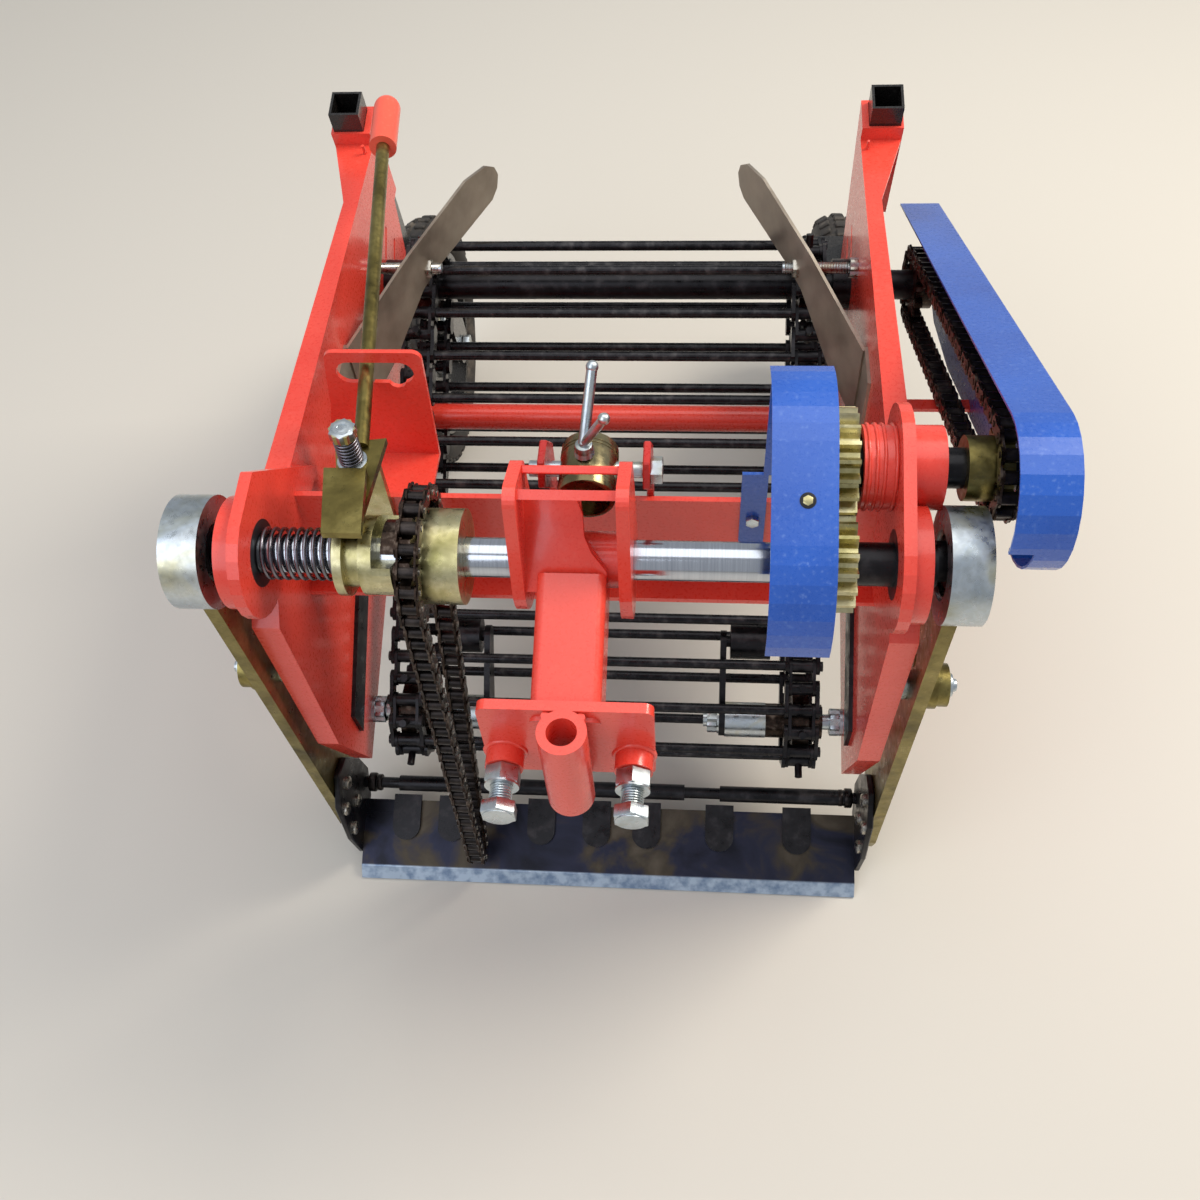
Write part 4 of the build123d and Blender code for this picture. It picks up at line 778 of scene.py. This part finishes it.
def bead_line(start, end, radius):
    """A straight weld bead between two drawing points."""
    bead = bar_between(start, end, radius, 8)
    use(bead)
    bpy.ops.object.mode_set(mode="EDIT")
    pick(bead, "edges", lambda p: abs(p.z) < 0.01)
    bpy.ops.mesh.subdivide(number_cuts=max(2, int((Vector(end) - Vector(start)).length / 3.0)))
    bpy.ops.object.mode_set(mode="OBJECT")
    return ripple(bead, 2.2)


def bead_ring(place, axis, major, minor):
    """A weld bead round a bar."""
    deselect()
    bpy.ops.mesh.primitive_torus_add(
        major_segments=48, minor_segments=8, major_radius=major * MM, minor_radius=minor * MM,
        location=at(*place), rotation=turn_to(axis))
    return ripple(bpy.context.active_object, 1.8)


# %% Welds on the drawbar
draw_welds = [
    bead_ring((DRAW_X - HITCH_BOLT_X, HITCH_Y + 0.5, HITCH_BOLT_Z), "Y", 14.5, 2.2),
    bead_ring((DRAW_X + HITCH_BOLT_X, HITCH_Y + 0.5, HITCH_BOLT_Z), "Y", 14.5, 2.2),
    bead_line((DRAW_X - 12.5, HITCH_Y - 3.0, 432.0), (DRAW_X - 12.5, HITCH_Y - 3.0, 518.0), 3.0),
    bead_line((DRAW_X + 12.5, HITCH_Y - 3.0, 432.0), (DRAW_X + 12.5, HITCH_Y - 3.0, 518.0), 3.0),
    bead_line((DRAW_X - 20.0, HITCH_Y + 9.0, 512.0), (DRAW_X + 20.0, HITCH_Y + 9.0, 512.0), 2.4),
]
settle(join(*draw_welds), "drawbar_welds", orange_paint, "drawbar", 60)

# %% Welds on the frame
frame_welds = [bead_ring((x, *COUNTER), "X", 31.2, 1.3) for x in (213.5, 219.0, 224.5, 232.5)]
for side in (-1, 1):
    frame_welds.append(bead_line((side * 241.0, 126.0, 402.0), (side * 241.0, 126.0, 476.0), 2.0))
    frame_welds.append(bead_line((side * 249.0, 556.0, 528.0), (side * 249.0, 574.0, 440.0), 1.6))
settle(join(*frame_welds), "frame_welds", orange_paint, "frame", 60)
print("welds", len(draw_welds) + len(frame_welds))

# %% [markdown]
# ## Saddle plate
# A plate with a rounded corner is welded on the drawbar's sleeve, from the square tube up to
# the yoke. It is a disc's rim drawn out to the plate's outline, extruded and laid on its slope.

# %% Saddle plate
SADDLE = ((-35, -18), (25, -18), (25, -2), (14, 12), (9, 24), (8, 40), (4, 50), (-3, 54), (-35, 54))
SADDLE_SLOPE = math.radians(51.0)
saddle_foot = (SHAFT[0] - 25.0 * math.sin(SADDLE_SLOPE), SHAFT[1] + 25.0 * math.cos(SADDLE_SLOPE))
deselect()
bpy.ops.mesh.primitive_circle_add(vertices=len(SADDLE), radius=0.05, fill_type="NGON", location=(0, 0, 0))
saddle = bpy.context.active_object
bpy.ops.object.mode_set(mode="EDIT")
saddle_mesh = bmesh.from_edit_mesh(saddle.data)
for vertex, (u, v) in zip(saddle_mesh.verts, SADDLE):
    vertex.co = Vector((u, v, 0)) * MM
bmesh.update_edit_mesh(saddle.data)
bpy.ops.mesh.select_all(action="SELECT")
bpy.ops.mesh.extrude_region_move(TRANSFORM_OT_translate={"value": (0, 0, 5 * MM)})
bpy.ops.mesh.select_all(action="SELECT")
bpy.ops.mesh.bevel(offset=0.8 * MM, segments=2, affect="EDGES")
bpy.ops.object.mode_set(mode="OBJECT")
saddle.matrix_world = Matrix.Translation(at(DRAW_X, *saddle_foot)) @ Matrix.Rotation(SADDLE_SLOPE, 4, "X")
settle(saddle, "saddle_plate", orange_paint, "drawbar", 30)

# %% [markdown]
# ## Yoke strip
# A flat strip joins the rear top corners of the yoke's two plates, so that they can't spread
# when the machine is pulled. It is welded between them and slopes down to the rear.

# %% Yoke strip
yoke_strip = flat_plate(
    ((61.7, 605.1), (66.3, 608.9), (74.7, 599.0), (70.1, 595.1)), DRAW_X - 34.4, DRAW_X + 34.4, 0.8)
settle(yoke_strip, "yoke_strip", orange_paint, "drawbar")

# %% [markdown]
# ## Bearings of the swinging housings
# Each housing turns on the shaft's eccentric end through a ball bearing. Its outer race sits in
# the housing and its inner race on the journal, with a dark seal between, so the outer race
# swings with the arm while the inner one turns with the shaft.

# %% Housing bearings
THROW = 4.0


def outer_race(side):
    """The outer race, as deep as its housing."""
    return washer(26.0, 22.8, 25.0, (side * 282.5, *SHAFT))


def inner_race(side):
    """The inner race on the eccentric journal."""
    return washer(18.4, 15.02, 17.0, (side * 280.0, SHAFT[0] + THROW, SHAFT[1]))


settle(both_sides(outer_race), "housing_outer_races", pin_steel, "swing")
settle(both_sides(inner_race), "housing_inner_races", bearing_seal, "main_shaft")

# %% [markdown]
# ## Clutch lever fittings
# The lever turns on a shouldered bolt. A small spring on the bolt presses the lever down on its
# bracket, with a washer under it, and the bolt's thread shows between the turns.

# %% Lever bolt fittings
LEVER = (-168.0, 108.0)
lever_washer = rim_bevel(round_bar(11.5, 1.6, (*LEVER, 564.0), "Z"), 1.6, 0.4)
settle(lever_washer, "lever_washer", silver_zinc, "lever")
lever_spring = helix(1.1, 8, 8.4, 3.4, 22.4, (*LEVER, 577.4), "Z", 24)
settle(lever_spring, "lever_spring", spring_steel, "frame", 60)
bolt_thread = thread(6.4, 1.75, 28.0, (*LEVER, 577.0), "Z")
bolt_head = hexagon(18.4, 8.2, (*LEVER, 595.0), "Z")
bolt_dish = washer(6.5, 4.0, 0.6, (*LEVER, 599.2), "Z")
settle(join(bolt_thread, bolt_head, bolt_dish), "lever_bolt", silver_zinc, "frame")

# %% [markdown]
# ## Nuts, bolts and studs of the frame
# The fasteners are plain hexagons with threads. Each goes on the face that it clamps, with the
# thread's end standing out by a few millimetres.

# %% Stud threads and nuts
STUD = (470.0, 446.0)


def stud_fittings(side):
    """Threaded stud that stays the deflector, with its nuts."""
    nut = hexagon(17.0, 8.0, (side * 239.0, *STUD))
    ridge = thread(5.5, 1.5, 62.0, (side * 203.0, *STUD))
    lock = hexagon(17.0, 7.0, (side * 183.0, *STUD))
    return join(nut, ridge, lock)


def stub_fittings(side):
    """Nuts and washer of the front idlers' stub bolt."""
    inner = hexagon(24.0, 10.0, (side * 111.0, *FRONT_AXLE))
    flat = washer(15.0, 8.2, 2.0, (side * 117.0, *FRONT_AXLE))
    outer = hexagon(24.0, 10.0, (side * 235.0, *FRONT_AXLE))
    cap = hexagon(24.0, 10.0, (side * 252.0, *FRONT_AXLE))
    return join(inner, flat, outer, cap)


settle(both_sides(stud_fittings), "deflector_stud_fittings", pin_steel, "frame")
settle(both_sides(stub_fittings), "stub_bolt_nuts", silver_zinc, "frame")
bracket_bolt = hexagon(10.0, 4.5, (136.0, 120.8, 482.0), "Y")
settle(bracket_bolt, "guard_bracket_bolt", silver_zinc, "frame")

# %% [markdown]
# ## Gear guard details
# The guard over the gears has an oiling hole, through which the head of a bolt shows. The hole
# is a dished disc on the sheet, painted near black as the shade inside the hole, with the bolt's
# head in it. It lies on the sheet's straight part between the two gears, so its place is measured
# along the line of their centres.

# %% Oiling hole
GUARD_OUT = 74.2
HOLE_X = 166.5
HOLE_ALONG = 30.9
guard_turn = math.atan2(COUNTER[1] - SHAFT[1], COUNTER[0] - SHAFT[0])
hole_axis = (0, -math.sin(guard_turn), math.cos(guard_turn))
hole_at = (
    HOLE_X,
    SHAFT[0] + HOLE_ALONG * math.cos(guard_turn) + GUARD_OUT * hole_axis[1],
    SHAFT[1] + HOLE_ALONG * math.sin(guard_turn) + GUARD_OUT * hole_axis[2],
)
# painted shade: this near-black disc stands for the shade inside the hole
hole_disc = rim_bevel(round_bar(5.6, 0.8, hole_at, hole_axis, 28), 0.8, 0.3)
settle(hole_disc, "oiling_hole", hole_shade_paint, "frame")
hole_bolt = hexagon(6.6, 1.2, hole_at, hole_axis)
settle(hole_bolt, "bolt_in_oiling_hole", yellow_zinc, "frame")

# %% [markdown]
# ## Swing arm details
# Each arm carries a plug weld over its inner plate, ground flat, which shows as an oval mark,
# and its pin ends in a washer and a stub.

# %% Arm marks and pin ends


def arm_mark(side):
    """An oval plug weld on the arm's inner face."""
    mark = rim_bevel(round_bar(8.0, 0.9, (side * 270.9, 52.0, 392.0), "X", 28), 0.9, 0.25)
    mark.scale = (0.62, 1.0, 1.0)
    return ripple(mark, 0.3)


def pin_end(side):
    """Washer and stub outside the arm's boss."""
    cap = rim_bevel(round_bar(10.2, 3.4, (side * 307.2, *PIVOT)), 3.4, 0.8)
    stub = rim_bevel(round_bar(5.6, 4.4, (side * 310.6, *PIVOT)), 4.4, 1.0)
    return join(cap, stub)


settle(both_sides(arm_mark), "arm_plug_welds", olive_zinc, "swing", 60)
settle(both_sides(pin_end), "arm_pin_ends", silver_zinc, "frame")

# %% [markdown]
# ## Blade end plates
# A black plate joins the blade to each arm. Four round-headed bolts hold it, rubbed bright on
# their rims. The plate is taller than the blade, cut from a bar with its corners nipped off.

# %% Blade end plates
END_PLATE = ((26, 12), (88, 26), (106, 58), (98, 96), (74, 142), (48, 150), (24, 124), (18, 62))
END_BOLTS = ((55, 122), (57, 76), (32, 108), (30, 66))


def end_plate(side):
    """The plate between arm and blade."""
    return flat_plate(END_PLATE, side * 265.0, side * 271.0, 1.2)


def end_bolts(side):
    """Domed heads: a bar whose outer face is inset and raised in two steps."""
    heads = []
    for y, z in END_BOLTS:
        head = round_bar(7.0, 3.0, (side * 263.8, y, z), "X", 24)
        use(head)
        bpy.ops.object.mode_set(mode="EDIT")
        for inset, rise in ((1.6, 1.3), (2.2, 0.7)):
            pick(head, "faces", lambda p: -side * p.z > 1.4 and p.xy.length < 0.5)
            bpy.ops.mesh.inset(thickness=inset * MM)
            bpy.ops.transform.translate(value=(-side * rise * MM, 0, 0))
        bpy.ops.object.mode_set(mode="OBJECT")
        heads.append(head)
    return join(*heads)


plates_pair = settle(both_sides(end_plate), "blade_end_plate_pair", black_steel, "swing", 30)
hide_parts("blade_end_plates")
settle(both_sides(end_bolts), "blade_end_bolts", pin_steel, "swing", 50)

# %% [markdown]
# ## Hinge ends
# Grease-caked collars close the hinge rod at the blade's two ends.

# %% Hinge collars
HINGE = (92.0, 50.0)


def hinge_collar(side):
    """Two stepped collars."""
    first = rim_bevel(round_bar(10.5, 8.0, (side * 258.0, *HINGE)), 8.0, 1.2)
    second = rim_bevel(round_bar(9.0, 5.0, (side * 250.0, *HINGE)), 5.0, 1.0)
    return join(first, second)


settle(both_sides(hinge_collar), "hinge_collars", roller_steel, "swing")

# %% [markdown]
# ## Adjusting screw and its barrel
# The screw that sets the drawbar passes through a turned barrel on a pin between two ears. The
# barrel lies fore and aft, with a bored front end and fine grooves round it. The crank is bent
# from round bar: a long arm and a short one, each with a ball at its tip.

# %% Barrel, ears and pin
BARREL = (11.5, 99.0, 562.0)
BARREL_LEN = 48.0
TRUNNION_PIN = (104.0, 562.0)
EAR_OUTLINE = ((131, 460), (143, 470), (143, 548), (120, 576), (98, 576), (90, 556), (131, 508))
barrel = rim_bevel(round_bar(21.5, BARREL_LEN, BARREL, "Y", 56), BARREL_LEN, 1.2)
use(barrel)
bpy.ops.object.mode_set(mode="EDIT")
pick(barrel, "faces", lambda p: abs(p.z + BARREL_LEN / 2) < 0.01)
bpy.ops.mesh.inset(thickness=2.4 * MM)
bpy.ops.mesh.extrude_region_move(TRANSFORM_OT_translate={"value": (0, 12 * MM, 0)})
bpy.ops.object.mode_set(mode="OBJECT")
grooves = [washer(21.8, 20.5, 0.8, (BARREL[0], y, BARREL[2]), "Y", 48) for y in (84.0, 113.0, 116.0)]
trunnion_set = settle(join(barrel, *grooves), "trunnion_barrel", bronze_zinc, "trunnion")
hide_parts("trunnion")
pin_shank = rim_bevel(round_bar(6.1, 94.0, (14.0, *TRUNNION_PIN)), 94.0, 0.8)
pin_nut = hexagon(18.0, 9.0, (62.0, *TRUNNION_PIN))
settle(join(pin_shank, pin_nut), "trunnion_pin", silver_zinc, "trunnion")
trunnion_plates = join(*[flat_plate(EAR_OUTLINE, x0, x0 + 5.5) for x0 in (-25.5, 52.0)])
settle(trunnion_plates, "trunnion_ear_plates", dark_paint, "frame", 30)
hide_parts("trunnion_ears")

# %% Screw and crank
SCREW = (10.0, 100.0)
CRANK_FOOT = (*SCREW, 594.0)
CRANK_TIP = (16.5, 134.0, 637.0)
CRANK_KNOB = (26.0, 100.0, 620.0)
crank_set = join(
    rim_bevel(round_bar(6.6, 66.0, (*SCREW, 561.0), "Z"), 66.0, 1.2),
    thread(7.0, 2.5, 60.0, (*SCREW, 559.0), "Z"),
    bar_between(CRANK_FOOT, CRANK_TIP, 4.0),
    ball(4.6, CRANK_TIP),
    bar_between(CRANK_FOOT, CRANK_KNOB, 3.5),
    ball(4.5, CRANK_KNOB),
)
settle(crank_set, "screw_and_crank", silver_zinc, "adjusting_screw", 40)
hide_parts("adjusting_screw")

# %% [markdown]
# ## Tyres
# Small pneumatic cart tyres with a block tread. The carcass is a torus widened to the rim, its
# crown a little below full size, and three rows of bevelled blocks bring it to full size. They
# stand for the solids' plain rings.

# %% Tyres
BLOCK_ROWS = ((0.0, 156.6, 0.0, 0.0), (17.5, 151.6, 30.0, 3.5), (-17.5, 151.6, -30.0, 3.5))
BLOCKS_ROUND = 44
BLOCK_SIZE = (13.0 * MM, 14.0 * MM, 6.4 * MM)
SECTION_R = 21.2
SECTION_HALF_WIDTH = 27.0


def tyre(x):
    """Carcass and tread of one tyre."""
    deselect()
    bpy.ops.mesh.primitive_torus_add(
        major_segments=72, minor_segments=20,
        major_radius=135.6 * MM, minor_radius=SECTION_R * MM,
        location=at(x, *WHEEL), rotation=(0, math.pi / 2, 0))
    carcass = bpy.context.active_object
    bpy.ops.object.transform_apply(location=False, rotation=True, scale=False)
    carcass.scale = (SECTION_HALF_WIDTH / SECTION_R, 1, 1)
    blocks = []
    for offset, radius, tilt, phase in BLOCK_ROWS:
        deselect()
        bpy.ops.mesh.primitive_cube_add(size=1, location=(0, 0, 0))
        block = bpy.context.active_object
        block.scale = BLOCK_SIZE
        bpy.ops.object.transform_apply(location=False, rotation=False, scale=True)
        bpy.ops.object.mode_set(mode="EDIT")
        bpy.ops.mesh.select_all(action="SELECT")
        bpy.ops.mesh.bevel(offset=1.2 * MM, segments=1, affect="EDGES")
        bpy.ops.object.mode_set(mode="OBJECT")
        turns = []
        for k in range(BLOCKS_ROUND):
            angle = math.radians(360.0 * k / BLOCKS_ROUND + phase)
            turn = Matrix.Rotation(angle, 4, "X") @ Matrix.Translation((offset * MM, 0, radius * MM))
            twist = Matrix.Rotation(math.radians(tilt), 4, "Y")
            turns.append(Matrix.Translation(at(x, *WHEEL)) @ turn @ twist)
        blocks.append(repeat(block, turns))
    return join(carcass, *blocks)


for name, x in (("left", -WHEEL_X), ("right", WHEEL_X)):
    piece = settle(tyre(x), "tread_tyre_" + name, tyre_rubber, "wheel_" + name, 30)
    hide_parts("tyre_" + name)
print("tyre triangles", sum(len(p.vertices) - 2 for p in piece.data.polygons))

# %% [markdown]
# ## Wheel discs and axle nuts
# The wheel's disc is bolted to its hub, and a valve stands out near the rim. The axle has a nut
# outside each fork plate.

# %% Wheel details
HUB_BOLT_R = 36.0
HUB_FACE = 7.8


def wheel_details(side):
    """Hub bolts, valve and hub welds of one wheel."""
    parts = []
    for k in range(5):
        angle = math.radians(72 * k + 18)
        y, z = WHEEL[0] + HUB_BOLT_R * math.cos(angle), WHEEL[1] + HUB_BOLT_R * math.sin(angle)
        parts.append(hexagon(13.0, 6.0, (side * (WHEEL_X + HUB_FACE), y, z)))
        parts.append(hexagon(13.0, 6.0, (side * (WHEEL_X - HUB_FACE), y, z)))
    valve_at = (side * (WHEEL_X + 14.0), WHEEL[0], WHEEL[1] + 92.0)
    parts.append(rim_bevel(round_bar(3.2, 22.0, valve_at), 22.0, 0.8))
    parts += [bead_ring((side * x, *WHEEL), "X", 24.6, 1.8) for x in (WHEEL_X - 5.0, WHEEL_X + 5.0)]
    return join(*parts)


for name, side in (("left", -1), ("right", 1)):
    settle(wheel_details(side), "wheel_fittings_" + name, silver_zinc, "wheel_" + name)
    nuts = join(*[hexagon(22.0, 8.0, (side * x, *WHEEL)) for x in (294.6, 211.4)])
    settle(nuts, "axle_nuts_" + name, silver_zinc, "leg_" + name)

# %% [markdown]
# ## Floor, light and sky
# The machine stands on pale concrete in the sun. Here a plain pale floor, one soft key lamp
# and a large fill do the same work without hard shadows. The shiny parts see a pale sky.

# %% Stage
deselect()
bpy.ops.mesh.primitive_plane_add(size=14.0, location=(0, 0, -0.0006))
floor = bpy.context.active_object
floor.name = "floor"
# concrete: pale, warm grey and quite dull
floor_finish, floor_shader = new_material("pale_concrete")[::2]
floor_shader.inputs["Base Color"].default_value = linear("#CFCAC0")
floor_shader.inputs["Roughness"].default_value = 0.85
floor.data.materials.append(floor_finish)


def area_lamp(name, place, aim, size, power, colour="#FFFFFF"):
    """A soft square lamp that looks at a point."""
    data = bpy.data.lights.new(name, "AREA")
    data.size = size
    data.energy = power
    data.color = linear(colour)[:3]
    lamp = bpy.data.objects.new(name, data)
    bpy.context.scene.collection.objects.link(lamp)
    lamp.location = place
    lamp.rotation_euler = (Vector(aim) - Vector(place)).to_track_quat("-Z", "Y").to_euler()
    return lamp


area_lamp("key", (1.9, 0.6, 2.6), (0, 0, 0.3), 1.2, 75, "#FFF6E8")
area_lamp("fill", (-1.6, -2.0, 2.4), (0, 0, 0.3), 2.5, 38, "#EEF3FF")
area_lamp("top", (0, 0.2, 3.2), (0, 0, 0.3), 2.5, 30)
world = bpy.data.worlds.new("sky")
world.use_nodes = True
world.node_tree.nodes["Background"].inputs["Color"].default_value = linear("#E4E8EE")
world.node_tree.nodes["Background"].inputs["Strength"].default_value = 0.55
bpy.context.scene.world = world
bpy.context.scene.view_settings.view_transform = "Standard"
